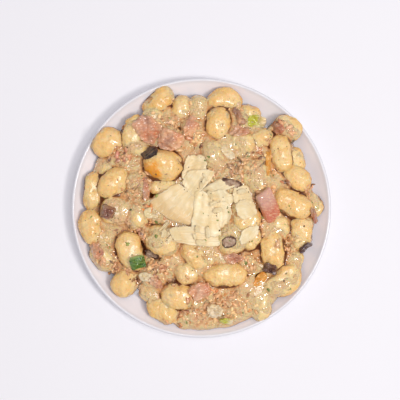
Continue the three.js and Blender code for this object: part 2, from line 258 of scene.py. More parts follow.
# x, y, length, width, heading (degrees), lift, bend, ridges (above 0 across, below 0 along), coat, gold
GNOCCHI = in_metres([
    [-36, 89.5, 30, 20, 45, 0, 0.05, 0, 0.15, 0.9],
    [-16, 84, 22, 17, 80, 0, 0, 0, 0.5, 0.5],
    [-3, 84, 22, 18, 90, -1, 0, 0, 0.8, 0.5],
    [19, 91, 31, 19, 6, 0, -0.1, 0, 0.1, 0.6],
    [14, 71, 27, 19.5, 84, 4, 0, -0.3, 0, 0.7],
    [41, 80, 20, 14, -20, 0, 0, 0, 0.5, 0.6],
    [34, 55, 24, 16, -5, 1, 0, 0.8, 0.2, 0.6],
    [51, 59, 20, 16, 20, 1, 0, 0, 0.2, 0.4],
    [67, 46, 33, 19, -84, 4, 0.04, 0, 0, 0.3],
    [73, 68, 25, 19, -30, 5, 0, 0, 1, 0.4],
    [10, 44, 27, 18, -76, 1, 0, 0, 0.7, 0.9],
    [-57, 63, 32, 19, 75, 1, 0, 0.8, 0.3, 0.4],
    [-79, 55, 28, 23, 40, 2, 0, 0, 0.1, 0.5],
    [-54, 50, 22, 16, -10, 0, 0, 0, 0.8, 0.5],
    [80, 41, 21, 15, -70, 0, 0, 0, 0.1, 0.3],
    [80, 25, 27, 19, -35, 2, 0, 0, 0.1, 0.4],
    [76, 4, 36, 21, -28, 4, 0.03, 0, 0, 0.55],
    [94, 3, 22, 16, -65, 0, 0, 0, 1, 0.5],
    [66, -15, 19, 16, -60, 0, 0, 0, 0.3, 0.4],
    [84, -20, 30, 20, 85, 1, 0, 0, 0.4, 0.6],
    [60, -35, 33, 20, -86, 3, 0.03, -0.7, 0, 0.6],
    [69, -61, 36, 21, 38, 3, 0.14, 0, 0.45, 0.4],
    [78, -46, 22, 15, 70, 0, 0, 0, 0.8, 0.4],
    [50, -80, 31, 19, 88, 0, 0, 0, 0.7, 0.5],
    [20, -56, 37, 19, 4, 3, 0, 0.9, 0, 0.35],
    [-12, -54, 21, 19, 20, 1, 0, 0, 0.3, 0.4],
    [-20, -74, 28, 22, -10, 3, 0, 0, 0.2, 0.6],
    [-32, -85, 30, 21, -35, 0, 0, 0, 0.1, 0.6],
    [-43, -73, 20, 14, -20, -2, 0, 0, 0.6, 0.9],
    [-65, -63, 25, 22, 60, 1, 0, 0, 0, 0.4],
    [-59, -36, 34, 21, -70, 4, 0.03, 0, 0, 0.25],
    [-82, -41, 27, 20, -50, 0, 0, 0, 1, 0.5],
    [-93, -16, 31, 19, -82, 2, 0.03, -0.4, 0, 0.4],
    [-91, 14, 33, 17.5, 86, 1, 0, -0.8, 0, 0.3],
    [-74, 21, 31, 21, 42, 3, 0, 0, 0, 0.5],
    [-77, 36, 24, 13, 40, -1, 0, 0, 0.1, 0.3],
    [-71, -2, 27, 23, -20, 1, 0, 0, 0.8, 0.6],
    [-54, -6, 25, 19, 85, 1, 0, 0, 0.5, 0.6],
    [-32, 36, 33, 25, -12, 4, 0.03, 0, 0, 0.4],
    [-32, 18, 24, 14, 8, -1, 0, 0, 0.2, 0.4],
    [-32, -27, 30, 24, -20, 2, 0, 0, 0.6, 0.5],
    [-6, -40, 28, 17, -47, 1, 0, -0.5, 0.1, 0.6],
    [7, -41, 20, 14, -20, -2, 0, 0, 0, 1],
    [27, -25, 31, 25, 40, 0, 0, 0, 0.45, 0.5],
    [36, -7, 30, 23, -60, 2, 0, 0, 0.2, 0.35],
    [41, -25, 20, 18, 45, 2, 0, 0, 0.1, 0.3],
    [47, 26, 30, 22, -60, 1, 0, 0, 0.9, 0.5],
    [-24, 58, 24, 19, -40, 0, 0, 0, 1, 0.5],
    [-39, 75, 23, 18, -30, 0, 0, 0, 1, 0.5],
    [-10, 63, 28, 16, 80, -1, 0, 0, 1, 0.5],
    [-54, 19, 24, 18, -60, 0, 0, 0, 1, 0.5],
    [-4, 3, 36, 19, 15, -4, 0, 0, 0.8, 0.5],
])
gx, gy, glength, gwidth, gheading, glift, gbend, gridge, gcoat, ggold = GNOCCHI.T
count = len(gx)


def rest_height(x, y):
    """Height at which the centre of a gnocco lies: highest over the plate's axis, lowest at the edge."""
    reach = np.minimum(np.hypot(x, y) / HEAP_RADIUS, 1)
    return heap_low.z + RING_REST + CROWN_RISE * (1 - reach ** 2)


gz = rest_height(gx, gy) + glift


def own_axes(x, y, at_x, at_y, heading):
    """How far points lie from a place, along a heading and across it."""
    c, s = math.cos(heading), math.sin(heading)
    return (x - at_x) * c + (y - at_y) * s, -(x - at_x) * s + (y - at_y) * c


def gnocchi_top(x, y, sink):
    """Upper surface of all the gnocchi over a grid, each lowered by its own sink; far below where there are
    none."""
    top = np.full(x.shape, -1.0)
    for i in range(count):
        along, across = own_axes(x, y, gx[i], gy[i], gheading[i])
        along, across = along / (glength[i] / 2), across / (gwidth[i] / 2)
        across = across - gbend[i] * glength[i] / gwidth[i] * 2 * (along ** 2 - BEND_LEVEL)
        body = np.sqrt(np.maximum(1 - np.abs(along) ** FULLNESS, 1e-6))
        rise = np.maximum(1 - (np.abs(across) / body) ** (2 / SQUARENESS), 0) ** (SQUARENESS / 2) * body
        height = gz[i] - sink[i] + gwidth[i] / 2 * FLATTENING * rise
        top = np.where((rise > 0) & (np.abs(along) < 1), np.maximum(top, height), top)
    return top


# The heap as a height map over a square grid: for the sauce, the seats of the toppings and the creases.
MAP_HALF = 110 * MM
MAP_STEPS = 441
MAP_PITCH = 2 * MAP_HALF / (MAP_STEPS - 1)
map_axis = np.linspace(-MAP_HALF, MAP_HALF, MAP_STEPS)
map_x, map_y = np.meshgrid(map_axis, map_axis)


def blurred(field, radius):
    """The map smoothed by a bell curve of the given radius."""
    frequency = np.fft.fftfreq(MAP_STEPS, MAP_PITCH)
    bell = np.exp(-2 * (math.pi * radius * frequency) ** 2)
    return np.fft.ifft2(np.fft.fft2(field) * bell[:, None] * bell[None, :]).real


def read_map(field, x, y):
    """The map's value between its grid points."""
    column = np.clip((x + MAP_HALF) / MAP_PITCH, 0, MAP_STEPS - 1.001)
    row = np.clip((y + MAP_HALF) / MAP_PITCH, 0, MAP_STEPS - 1.001)
    j, i = column.astype(int), row.astype(int)
    u, v = column - j, row - i
    return ((field[i, j] * (1 - u) + field[i, j + 1] * u) * (1 - v)
            + (field[i + 1, j] * (1 - u) + field[i + 1, j + 1] * u) * v)


def rounded(value, power=SQUARENESS):
    """Sine or cosine bent towards the corners of a rounded box."""
    return np.sign(value) * np.abs(value) ** power


def waves(u, v, starts, rows):
    """Sum of sine waves, from rows of height, number along u and number along v."""
    return sum(height * np.sin(a * u + b * v + start) for (height, a, b), start in zip(rows, starts))


def ripple(points, seed, shortest, longest, number=16):
    """Uneven relief at points: a sum of sine waves in random directions, about -2 to 2."""
    draw = np.random.default_rng(seed)
    direction = draw.standard_normal((number, 3))
    direction /= np.linalg.norm(direction, axis=1)[:, None]
    length = draw.uniform(shortest, longest, number)
    relief = 0
    for d, wave, start in zip(direction, length, draw.uniform(0, 2 * math.pi, number)):
        relief = relief + np.sin(points @ d * (2 * math.pi / wave) + start)
    return relief / math.sqrt(number / 2)


def across_grid(column):
    """One number for each gnocco, ready to meet its grid of points."""
    return column[:, None, None]


rng = np.random.default_rng(41)
# One parameter runs along the gnocco from end to end, the other round it; the ends close on a point.
along = np.sin(np.linspace(-math.pi / 2, math.pi / 2, GNOCCHI_ALONG + 2)[1:-1])[None, :, None]
around = np.linspace(0, 2 * math.pi, GNOCCHI_AROUND, endpoint=False)[None, None, :]
phase = rng.uniform(0, 2 * math.pi, (6, count, 1, 1))
board = rng.uniform(-BOARD_TILT, BOARD_TILT, (count, 1, 1)) + math.pi / 2  # the grooved side faces up
ridge = across_grid(gridge)
grooves_across = np.maximum(ridge, 0) * CROSS_DEPTH * np.cos(CROSS_WAVES * along + phase[0])
grooves_along = np.maximum(-ridge, 0) * LONG_DEPTH * np.cos(LONG_WAVES * around + phase[0])
dents = 0
for _ in range(DENTS):  # pressed by a finger, or by the next gnocco
    at, turned, deep, wide = (rng.uniform(low, high, (count, 1, 1)) for low, high in DENT_RANGES)
    dents = dents + deep * np.exp(-((along - at) / wide) ** 2 - (1 - np.cos(around - turned)) / (wide ** 2))
facing = 0.5 + 0.5 * np.cos(around - board)
body = 1 + waves(along, around, phase[1:5], UNEVEN) - dents + (grooves_across + grooves_along) * facing
body = np.sqrt(1 - np.abs(along) ** FULLNESS) * body
half_length, half_width = across_grid(glength) / 2, across_grid(gwidth) / 2
side_y, side_z = body * rounded(np.cos(around)), body * rounded(np.sin(around)) * FLATTENING
local_x = along * half_length * (1 + waves(0, around, phase[[5, 4]], SKEW))
local_y = side_y * half_width + across_grid(gbend) * 2 * half_length * (along ** 2 - BEND_LEVEL)
c, s = np.cos(across_grid(gheading)), np.sin(across_grid(gheading))
gnocchi_rings = np.stack([across_grid(gx) + local_x * c - local_y * s,
                          across_grid(gy) + local_x * s + local_y * c,
                          across_grid(gz) + side_z * half_width], -1)
outward = np.stack([-side_y * s, side_y * c, side_z + 0 * c], -1)
outward /= np.linalg.norm(outward, axis=-1, keepdims=True)
for height, seed, shortest, longest in RELIEFS:
    relief = ripple(gnocchi_rings, seed, shortest * MM, longest * MM)
    gnocchi_rings += outward * (height * MM * relief)[..., None]


def gnocco_end(side):
    """The point that closes each gnocco at its end on one side, -1 or 1."""
    reach, sway = side * glength / 2, gbend * glength * (1 - BEND_LEVEL)
    return np.stack([gx + reach * np.cos(gheading) - sway * np.sin(gheading),
                     gy + reach * np.sin(gheading) + sway * np.cos(gheading), gz], 1)


gnocchi_points, gnocchi_quads, gnocchi_caps = pods(gnocchi_rings, gnocco_end(-1), gnocco_end(1))
# Nothing reaches into the plate: what would is pressed up onto its wall.
on_plate = plate_inside(gnocchi_points[:, 0], gnocchi_points[:, 1]) + PLATE_CLEAR
gnocchi_points[:, 2] = np.maximum(gnocchi_points[:, 2], on_plate)
gnocchi = make_piece("gnocchi", gnocchi_points, gnocchi_quads, gnocchi_caps)


def set_values(piece, **values):
    """Gives a piece's points numbers, for its finish to read by name."""
    for name, numbers in values.items():
        layer = piece.data.attributes.new(name, "FLOAT", "POINT")
        layer.data.foreach_set("value", np.asarray(numbers, np.float32))


bare_top = gnocchi_top(map_x, map_y, np.zeros(count))


# ---------------------------------------------------------------- sauce
# Thick cream sauce full of finely chopped ham, poured hot over the gnocchi. It fills the heap, coats some
# gnocchi and leaves others bare, and runs out to an uneven edge on the plate's floor.
SAUCE_EDGE_HEADINGS = [-180, -165, -150, -137, -128, -115, -100, -85, -65, -50, -35, -20, 0, 15, 30, 42, 52,
                       65, 80, 95, 110, 122, 135, 150, 165, 180]
SAUCE_EDGE_RADII = [95, 96, 98, 91, 88, 92, 104, 104, 103, 101, 98, 94, 101, 95, 94, 98, 87,
                    89, 92, 92, 92, 93, 95, 98, 98, 95]
SAUCE_HEM = 0.9 * MM
SAUCE_STEPS = 290
SAUCE_RISE = 3.9 * MM  # of the sauce between the gnocchi over the height of their middles
SINK_BARE, SINK_COATED = 1.9 * MM, -0.7 * MM  # of the sauce under the tops of bare and of coated gnocchi
BRIDGE_RADIUS, BRIDGE_DROP = 2.6 * MM, 2.0 * MM
BED_LUMPS, BED_LUMP_WIDTH = 1.0 * MM, 6 * MM
LUMP_HEIGHT = 0.62  # of half a lump's width
LUMP_EDGE, LUMP_SPREAD = 2.2, 1.5 * MM  # how sharply its chopped look ends, and how far it spreads
COVERING = 1.3  # a gnocco whose coat times this is 1 or more is wholly covered
FILLET = 0.9 * MM
COAT_LUMPS, COAT_LUMP_WIDTH = 0.45 * MM, 2.6 * MM
SHRED_HEIGHT, SHRED_LENGTH, SHRED_WIDTH = 0.75 * MM, 1.5 * MM, 0.7 * MM
SPECK_HEIGHT, SPECK_WIDTH = 0.12 * MM, 0.5 * MM
SMOOTH_CHOPPED = 0.16  # how chopped the sauce is where it has no lumps, with 1 on a lump
EDGE_WIDTH = 5 * MM  # over which the sauce thins out to the plate
EDGE_WANDER, EDGE_WANDER_WIDTH = 0.7 * MM, 4 * MM
UNDER_SHARES = (1.0, 0.8, 0.5)
UNDER_CLEAR, LEAST_SAUCE = 0.1 * MM, 0.25 * MM
# x, y, length, width, heading, lift of the lumps of chopped ham and sauce between the gnocchi
SAUCE_LUMPS = in_metres([
    [-4, -91, 29, 20, 0, 0], [23, -83, 32, 29, 0, 0], [10, -93, 37, 17, -5, -2], [36, -46, 25, 20, -30, -1],
    [-55, 12, 20, 25, 0, -1], [-79, -43, 24, 22, 0, 0], [75, -30, 19, 17, 0, -1], [-4, 63, 17, 22, 0, -1],
    [31, 32, 37, 20, 15, 0], [-40, -53, 30, 29, 0, -1], [3, -69, 25, 22, 0, -1], [-47, -20, 15, 25, 0, -2],
    [-62, 42, 29, 15, -20, -2], [51, 11, 15, 29, 0, -1], [-16, -90, 20, 16, 0, -2], [20, 18, 30, 22, 0, 0],
    [-30, 68, 30, 24, 0, -1], [60, 60, 20, 18, 0, -3], [89, 32, 14, 20, 0, -5],
])
# The sauce has drawn back in some gaps: x, y, length, width, heading, depth.
SAUCE_GAPS = in_metres([
    [-41, 12, 9, 5, 60, 7], [-51.5, -28, 17, 4, -63, 7], [-47, 49, 9, 5, 30, 6], [-39, -41, 12, 5, -20, 5],
    [3, 33, 7, 4, 0, 4], [34, -14, 8, 4, -70, 5], [51, -3, 8, 4, -60, 5], [48, -57, 7, 4, 40, 5],
])


def speckle(seed, radius):
    """Seeded random map of lumps about the given radius, between about -2 and 2."""
    field = blurred(np.random.default_rng(seed).standard_normal((MAP_STEPS, MAP_STEPS)), radius)
    return field / field.std()


def soft_max(one, other, blend):
    """The higher of two surfaces, with a fillet where they cross."""
    return np.maximum(one, other) + blend * np.log1p(np.exp(-np.abs(one - other) / blend))


def shredded(seed, along, across, layers=5):
    """Map of long lumps lying every way: the highest of several random maps, each stretched along its own
    heading."""
    draw = np.random.default_rng(seed)
    fx, fy = np.meshgrid(np.fft.fftfreq(MAP_STEPS, MAP_PITCH), np.fft.fftfreq(MAP_STEPS, MAP_PITCH))
    fields = []
    for turned in np.arange(layers) * math.pi / layers:
        u, v = own_axes(fx, fy, 0, 0, turned)
        bell = np.exp(-2 * math.pi ** 2 * ((along * u) ** 2 + (across * v) ** 2))
        field = np.fft.ifft2(np.fft.fft2(draw.standard_normal(map_x.shape)) * bell).real
        fields.append(field / field.std())
    return np.max(fields, 0) - 1.15  # about its mean


bed = rest_height(map_x, map_y) + SAUCE_RISE + BED_LUMPS * speckle(3, BED_LUMP_WIDTH)
crumbly = np.zeros(map_x.shape)
for lx, ly, length, width, heading, lift in SAUCE_LUMPS:
    u, v = own_axes(map_x, map_y, lx, ly, heading)
    near = 1 - (u / (length / 2)) ** 2 - (v / (width / 2)) ** 2
    lump = rest_height(lx, ly) + lift + width / 2 * LUMP_HEIGHT * np.sqrt(np.maximum(near, 0))
    bed = np.where(near > 0, np.maximum(bed, lump), bed)
    crumbly = np.maximum(crumbly, np.clip(near * LUMP_EDGE, 0, 1))
crumbly = blurred(crumbly, LUMP_SPREAD)
# Coated gnocchi carry the sauce over them, and on bare ones it stays well below their tops.
cover_sink = SINK_BARE + (SINK_COATED - SINK_BARE) * np.clip(gcoat * COVERING, 0, 1)
coated_top = gnocchi_top(map_x, map_y, cover_sink)
sauce_top = blurred(soft_max(bed, coated_top, FILLET), 0.6 * MM) + COAT_LUMPS * speckle(8, COAT_LUMP_WIDTH)
# It bridges the narrow gaps, so that one never looks far down between two gnocchi.
bridged = blurred(np.maximum(bare_top, sauce_top), BRIDGE_RADIUS) - BRIDGE_DROP
sauce_top = blurred(np.maximum(sauce_top, bridged), 0.5 * MM)
for hx, hy, length, width, heading, depth in SAUCE_GAPS:
    u, v = own_axes(map_x, map_y, hx, hy, heading)
    sauce_top = sauce_top - depth * np.exp(-((u / (length / 2)) ** 2 + (v / (width / 2)) ** 2) ** 1.5)
shreds = np.clip(shredded(5, SHRED_LENGTH, SHRED_WIDTH), -1.2, 1.6)
chopped = SHRED_HEIGHT * shreds + SPECK_HEIGHT * np.clip(speckle(6, SPECK_WIDTH), -2, 2)
sauce_top = sauce_top + (SMOOTH_CHOPPED + (1 - SMOOTH_CHOPPED) * crumbly) * chopped

# The heap's outline at each heading: the sauce's own edge, or the outer side of the gnocchi where they reach
# further out, with a hem of sauce round them.
wander = EDGE_WANDER * speckle(7, EDGE_WANDER_WIDTH)
outline_heading = np.radians(np.linspace(-180, 180, 721))
reach, turned = np.meshgrid(np.linspace(70, 106, 181) * MM, outline_heading)
there = read_map((bare_top > 0).astype(float), reach * np.cos(turned), reach * np.sin(turned)) > 0.5
own_edge = np.interp(np.degrees(outline_heading), SAUCE_EDGE_HEADINGS, SAUCE_EDGE_RADII) * MM
outline_radius = np.maximum(own_edge, np.where(there, reach, 0).max(1) + SAUCE_HEM)


def edge_at(x, y):
    """Radius of the sauce's edge in the direction of each point."""
    return np.interp(np.arctan2(y, x), outline_heading, outline_radius) + read_map(wander, x, y)


inward = np.clip((edge_at(map_x, map_y) - np.hypot(map_x, map_y)) / EDGE_WIDTH, 0, 1)
floor = plate_inside(map_x, map_y)
sauce_top = floor + (np.maximum(sauce_top - floor, 0)) * np.sqrt(1 - (1 - inward) ** 2)

# A square grid is carried onto the disc, ring by ring, then out to the sauce's edge.
a, b = np.meshgrid(np.linspace(-1, 1, SAUCE_STEPS), np.linspace(-1, 1, SAUCE_STEPS), indexing="ij")
wide = np.abs(a) >= np.abs(b)
ring = np.where(wide, a, b)
swing = math.pi / 4 * np.where(wide, b / np.where(a == 0, 1, a), 2 - a / np.where(b == 0, 1, b))
disc_x, disc_y = ring * np.cos(swing), ring * np.sin(swing)
disc_angle = np.arctan2(disc_y, disc_x)
disc_edge = np.interp(disc_angle, outline_heading, outline_radius)
disc_edge = disc_edge + read_map(wander, disc_edge * np.cos(disc_angle), disc_edge * np.sin(disc_angle))
reach = np.hypot(disc_x, disc_y) * disc_edge
sx, sy = reach * np.cos(disc_angle), reach * np.sin(disc_angle)


def grid_faces(top):
    """The quads of a grid of points, and the numbers of its outermost points in order round it."""
    rows, columns, _ = top.shape
    index = np.arange(rows * columns).reshape(rows, columns)
    cells = np.stack([index[:-1, :-1], index[1:, :-1], index[1:, 1:], index[:-1, 1:]], -1).reshape(-1, 4)
    return cells, np.concatenate([index[0, :-1], index[:-1, -1], index[-1, :0:-1], index[:0:-1, 0]])


def settled(top, under):
    """Closed body from a grid of points over a disc and a coarse underside: rings drawn in from the grid's
    border by UNDER_SHARES, down to under(x, y), and a point in the middle."""
    cells, border = grid_faces(top)
    loops, points = [border], [top.reshape(-1, 3)]
    rim = points[0][border]
    size = len(points[0])
    for share in UNDER_SHARES:
        x, y = rim[:, 0] * share, rim[:, 1] * share
        points.append(np.stack([x, y, under(x, y)], 1))
        loops.append(size + np.arange(len(rim)))
        size += len(rim)
    points.append(np.array([[0, 0, under(0, 0)]]))
    strips = [np.stack([one, np.roll(one, -1), np.roll(other, -1), other], -1)
              for one, other in zip(loops, loops[1:])]
    fan = np.stack([loops[-1], np.roll(loops[-1], -1), np.full(len(rim), size)], -1)
    return np.concatenate(points), np.concatenate([cells, *strips]), fan


def points_of(mesh):
    points = np.empty(len(mesh.vertices) * 3)
    mesh.vertices.foreach_get("co", points)
    return points.reshape(-1, 3)


def facing_out(piece):
    """Turns a closed piece's faces outward if they point in."""
    mesh = piece.data
    mesh.calc_loop_triangles()
    corner = np.empty(len(mesh.loop_triangles) * 3, int)
    mesh.loop_triangles.foreach_get("vertices", corner)
    p, q, r = points_of(mesh)[corner.reshape(-1, 3)].transpose(1, 0, 2)
    if np.einsum("ij,ij->", p, np.cross(q, r)) < 0:
        mesh.flip_normals()
    return piece


def sauce_under(x, y):
    return plate_inside(x, y) + UNDER_CLEAR


sauce_z = np.maximum(read_map(sauce_top, sx, sy), sauce_under(sx, sy) + LEAST_SAUCE)
sauce_points, sauce_quads, sauce_fan = settled(np.stack([sx, sy, sauce_z], -1), sauce_under)
sauce = facing_out(make_piece("cream_sauce", sauce_points, sauce_quads, sauce_fan))

# Creases: how far a point lies below the smoothed surface of the heap round it.
heap_top = np.maximum(np.maximum(bare_top, sauce_top), floor)
WIDE_CREASE, WIDE_DEPTH = 4.5 * MM, 4 * MM
TIGHT_CREASE, TIGHT_DEPTH = 1.8 * MM, 1.3 * MM
smooth_top, tight_top = blurred(heap_top, WIDE_CREASE), blurred(heap_top, TIGHT_CREASE)


def crease_of(points):
    """Depth of creases at points: up to 0.5 from the wide ones and up to 0.9 more from the tight ones."""
    x, y, z = points.T
    return (np.clip((read_map(smooth_top, x, y) - z) / WIDE_DEPTH, 0, 1) * 0.5
            + np.clip((read_map(tight_top, x, y) - z) / TIGHT_DEPTH, 0, 1) * 0.9)


def each_point(numbers):
    """The number of each gnocco, for every one of its points."""
    return np.repeat(numbers, GNOCCO_POINTS)


OWN_DENTS = 1.1 * MM  # a gnocco's own shallow dents are no deeper than this, and aren't creases
FILM_RISE = 2.2 * MM  # of a film of sauce up a gnocco's side
TOASTED, TOAST_RADIUS = 38, 10.5 * MM
toast_x, toast_y = -42 * MM, 28 * MM
x, y, z = gnocchi_points.T
rise = (z - each_point(gz)) / (each_point(gwidth / 2) * FLATTENING)
toast_far = np.hypot(x - toast_x, (y - toast_y) * 0.9)
# flank is 0 on top of a gnocco and 1 from its middle down; it masks the painted shade on its sides.
set_values(gnocchi, gold=each_point(ggold), coat=each_point(gcoat),
           crease=crease_of(gnocchi_points + [0, 0, OWN_DENTS]),
           flank=1 - np.clip(rise, 0, 1) ** 2,
           toast=np.clip(1.2 - toast_far / TOAST_RADIUS, 0, 1) * each_point(np.arange(count) == TOASTED),
           film=np.clip(1 - (z - read_map(sauce_top, x, y)) / FILM_RISE, 0, 1))
x, y, _ = sauce_points.T
set_values(sauce, crease=crease_of(sauce_points), crumbly=read_map(crumbly, x, y),
           shred=read_map(shreds, x, y))


def linear(share):
    """sRGB values from 0 to 1 made linear."""
    return np.where(share <= 0.04045, share / 12.92, ((share + 0.055) / 1.055) ** 2.4)


def tone(red, green, blue):
    """Linear colour of an sRGB colour given in steps of 255."""
    return (*linear(np.array([red, green, blue]) / 255).tolist(), 1.0)


# Painted shade, shared by the wet pieces: the deeper a point lies in a crease, the browner and darker it is
# painted.
crease_shade_group = bpy.data.node_groups.new("painted_crease_shade", "ShaderNodeTree")
for socket, kind, way in (("Color", "NodeSocketColor", "INPUT"), ("Crease", "NodeSocketFloat", "INPUT"),
                          ("Color", "NodeSocketColor", "OUTPUT")):
    crease_shade_group.interface.new_socket(socket, in_out=way, socket_type=kind)
inlet = crease_shade_group.nodes.new("NodeGroupInput")
outlet = crease_shade_group.nodes.new("NodeGroupOutput")
own_colour, depth = (Field(crease_shade_group, inlet.outputs[name]) for name in ("Color", "Crease"))
SHADE_AMBER, SHADE_BARK_BROWN = tone(236, 158, 84), tone(110, 54, 20)
warm_shade = depth.ramp(0.14, 0.75, 0, 0.62).mix(own_colour, SHADE_AMBER)
deep = depth.ramp(0.72, 1.3).mix(warm_shade, SHADE_BARK_BROWN)
crease_shade_group.links.new(deep.socket, outlet.inputs["Color"])


def crease_shaded(colour, crease):
    """The colour with painted shade: browner and darker where the crease is deep."""
    inputs = {"Color": colour, "Crease": crease}
    return colour.node("ShaderNodeGroup", inputs, "Color", node_tree=crease_shade_group)


PALE, GOLDEN = tone(251, 218, 158), tone(247, 196, 121)
SIDE_SHADE_GOLD, TOAST = tone(247, 192, 112), tone(244, 164, 50)
CREAM, CREAM_TAN, CREAM_PINK = tone(255, 220, 164), tone(255, 192, 136), tone(255, 206, 156)
SHRED_HOLLOW_SHADE, REDDISH = tone(206, 128, 72), tone(220, 148, 112)
DEPTH_OF_LIGHT = (1.0, 0.65, 0.35)  # red, green and blue light, as shares of the scale

dough = Finish("potato_dough", IOR=1.42, Subsurface_Weight=0.45, Subsurface_Scale=5 * MM,
               Subsurface_Radius=DEPTH_OF_LIGHT, Coat_Roughness=0.17, Coat_IOR=1.8, Specular_IOR_Level=0.25)
place, own = dough.place, dough.own
patchy = place.noise(110.0, 4.0, 0.6, 0.5)
colour = own("gold").mix(PALE, GOLDEN)
colour = place.noise(130.0).ramp(0.42, 0.64, 0, 0.6).mix(colour, GOLDEN)
# Painted shade: the sides are painted deeper gold, then amber low down, standing in for the shade on them.
side_shade = own("flank") + place.noise(60.0) * 0.9
colour = side_shade.ramp(0.55, 1.3, 0, 0.5).mix(colour, SIDE_SHADE_GOLD)
flank = (own("flank") + patchy * 0.5).ramp(0.95, 1.42)
colour = (flank * 0.75).mix(colour, SHADE_AMBER)
film = (own("film") + own("coat") * 0.35 + patchy).ramp(0.75, 1.2)
colour = (film * 0.6).mix(colour, CREAM)
colour = place.noise(420.0).ramp(0.6, 0.72, 0, 0.4).mix(colour, CREAM_TAN)
toast = own("toast") + place.noise(260.0, 4.0, 0.7).ramp(0.3, 0.7, -0.22, 0.3)
toast = toast.ramp(0.18, 0.7) * own("toast").ramp(0.02, 0.1)
colour = toast.maths("MINIMUM", 1.0).mix(colour, TOAST)
grain = place.noise(700.0) + place.noise(220.0) * 2.6
# The creases of the gnocchi get painted shade.
dough.cover(gnocchi, Base_Color=crease_shaded(colour, own("crease")),
            Roughness=place.noise(300.0, 2.0).ramp(0.3, 0.7, 0.3, 0.5),
            Coat_Weight=place.noise(190.0, 2.0).ramp(0.42, 0.6, 0.05, 0.8), Normal=grain.bump(0.9 * MM))
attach(gnocchi, "root")
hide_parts("gnocchi_heap")

creamy = Finish("cream_and_ham", IOR=1.42, Subsurface_Weight=0.4, Subsurface_Scale=4 * MM,
                Subsurface_Radius=DEPTH_OF_LIGHT, Coat_Roughness=0.05, Coat_IOR=1.62, Specular_IOR_Level=0.25)
place, own = creamy.place, creamy.own
lumpy = own("crumbly")
colour = place.noise(70.0, 4.0).ramp(0.42, 0.68).mix(CREAM, CREAM_PINK)
bits = place.noise(420.0, 3.0, 0.6, 0.4).ramp(0.48, 0.68)
colour = (bits * lumpy.ramp(0, 1, 0.15, 0.5)).mix(colour, CREAM_TAN)
# Painted shade: the low places between the shreds, where the sauce is chopped, are painted brown.
low = own("shred").ramp(-0.8, 0.4, 1, 0)
colour = (low * lumpy.ramp(0, 1, 0.05, 0.42)).mix(colour, SHRED_HOLLOW_SHADE)
reddish = place.noise(190.0, 2.0).ramp(0.56, 0.7)
colour = (reddish * lumpy.ramp(0, 1, 0.08, 0.4)).mix(colour, REDDISH)
grain = place.noise(900.0) + place.noise(380.0) * 2.4
# The creases of the sauce get painted shade.
creamy.cover(sauce, Base_Color=crease_shaded(colour, own("crease")),
             Roughness=place.noise(250.0, 2.0).ramp(0.3, 0.7, 0.26, 0.5),
             Coat_Weight=place.noise(360.0, 2.0).ramp(0.4, 0.58, 0.1, 1.0), Normal=grain.bump(1.8 * MM))
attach(sauce, "root")
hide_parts("gnocchi_heap")


# ---------------------------------------------------------------- ham
# Cooked ham in the sauce: one thick two-coloured chunk, torn slices and many shreds, all pushed into the
# heap while it was hot, so that their edges are rounded and their undersides lie in the sauce.
LENGTH_SIDE = (1, 0.2)  # the long axis points this way, along X and a little along Y
WIDE_PIECE = 8.5 * MM  # half length from which a piece has flat faces and not round ones
DRAPE = 0.6
LOBES = (2, 3, 5, 8, 13)  # waves round an outline; their usual heights are shares of its raggedness
LOBE_HEIGHTS = (0.5, 0.5, 0.35, 0.25, 0.15)
WIDE_EDGE, NARROW_EDGE, FACE = 0.45, 0.8, 0.6  # how square the cross-section is, from 0 square to 1 round


def seat(node):
    """Centre, the long, wide and upward axes, and the half sizes of a CAD node, from its own vertices."""
    points = np.unique(points_of(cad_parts[node].data).round(6), axis=0)
    middle = (points.min(0) + points.max(0)) / 2
    length, _, up = np.linalg.eigh(np.cov((points - middle).T))[1].T[::-1]
    up = up * np.sign(up[2] or 1)
    length = length * (1 if length[:2] @ LENGTH_SIDE > 0 else -1)
    axes = np.stack([length, np.cross(up, length), up])
    spread = (points - middle) @ axes.T
    middle = middle + ((spread.min(0) + spread.max(0)) / 2) @ axes
    return middle, axes, (spread.max(0) - spread.min(0)) / 2


ground = blurred(heap_top, 1.2 * MM)


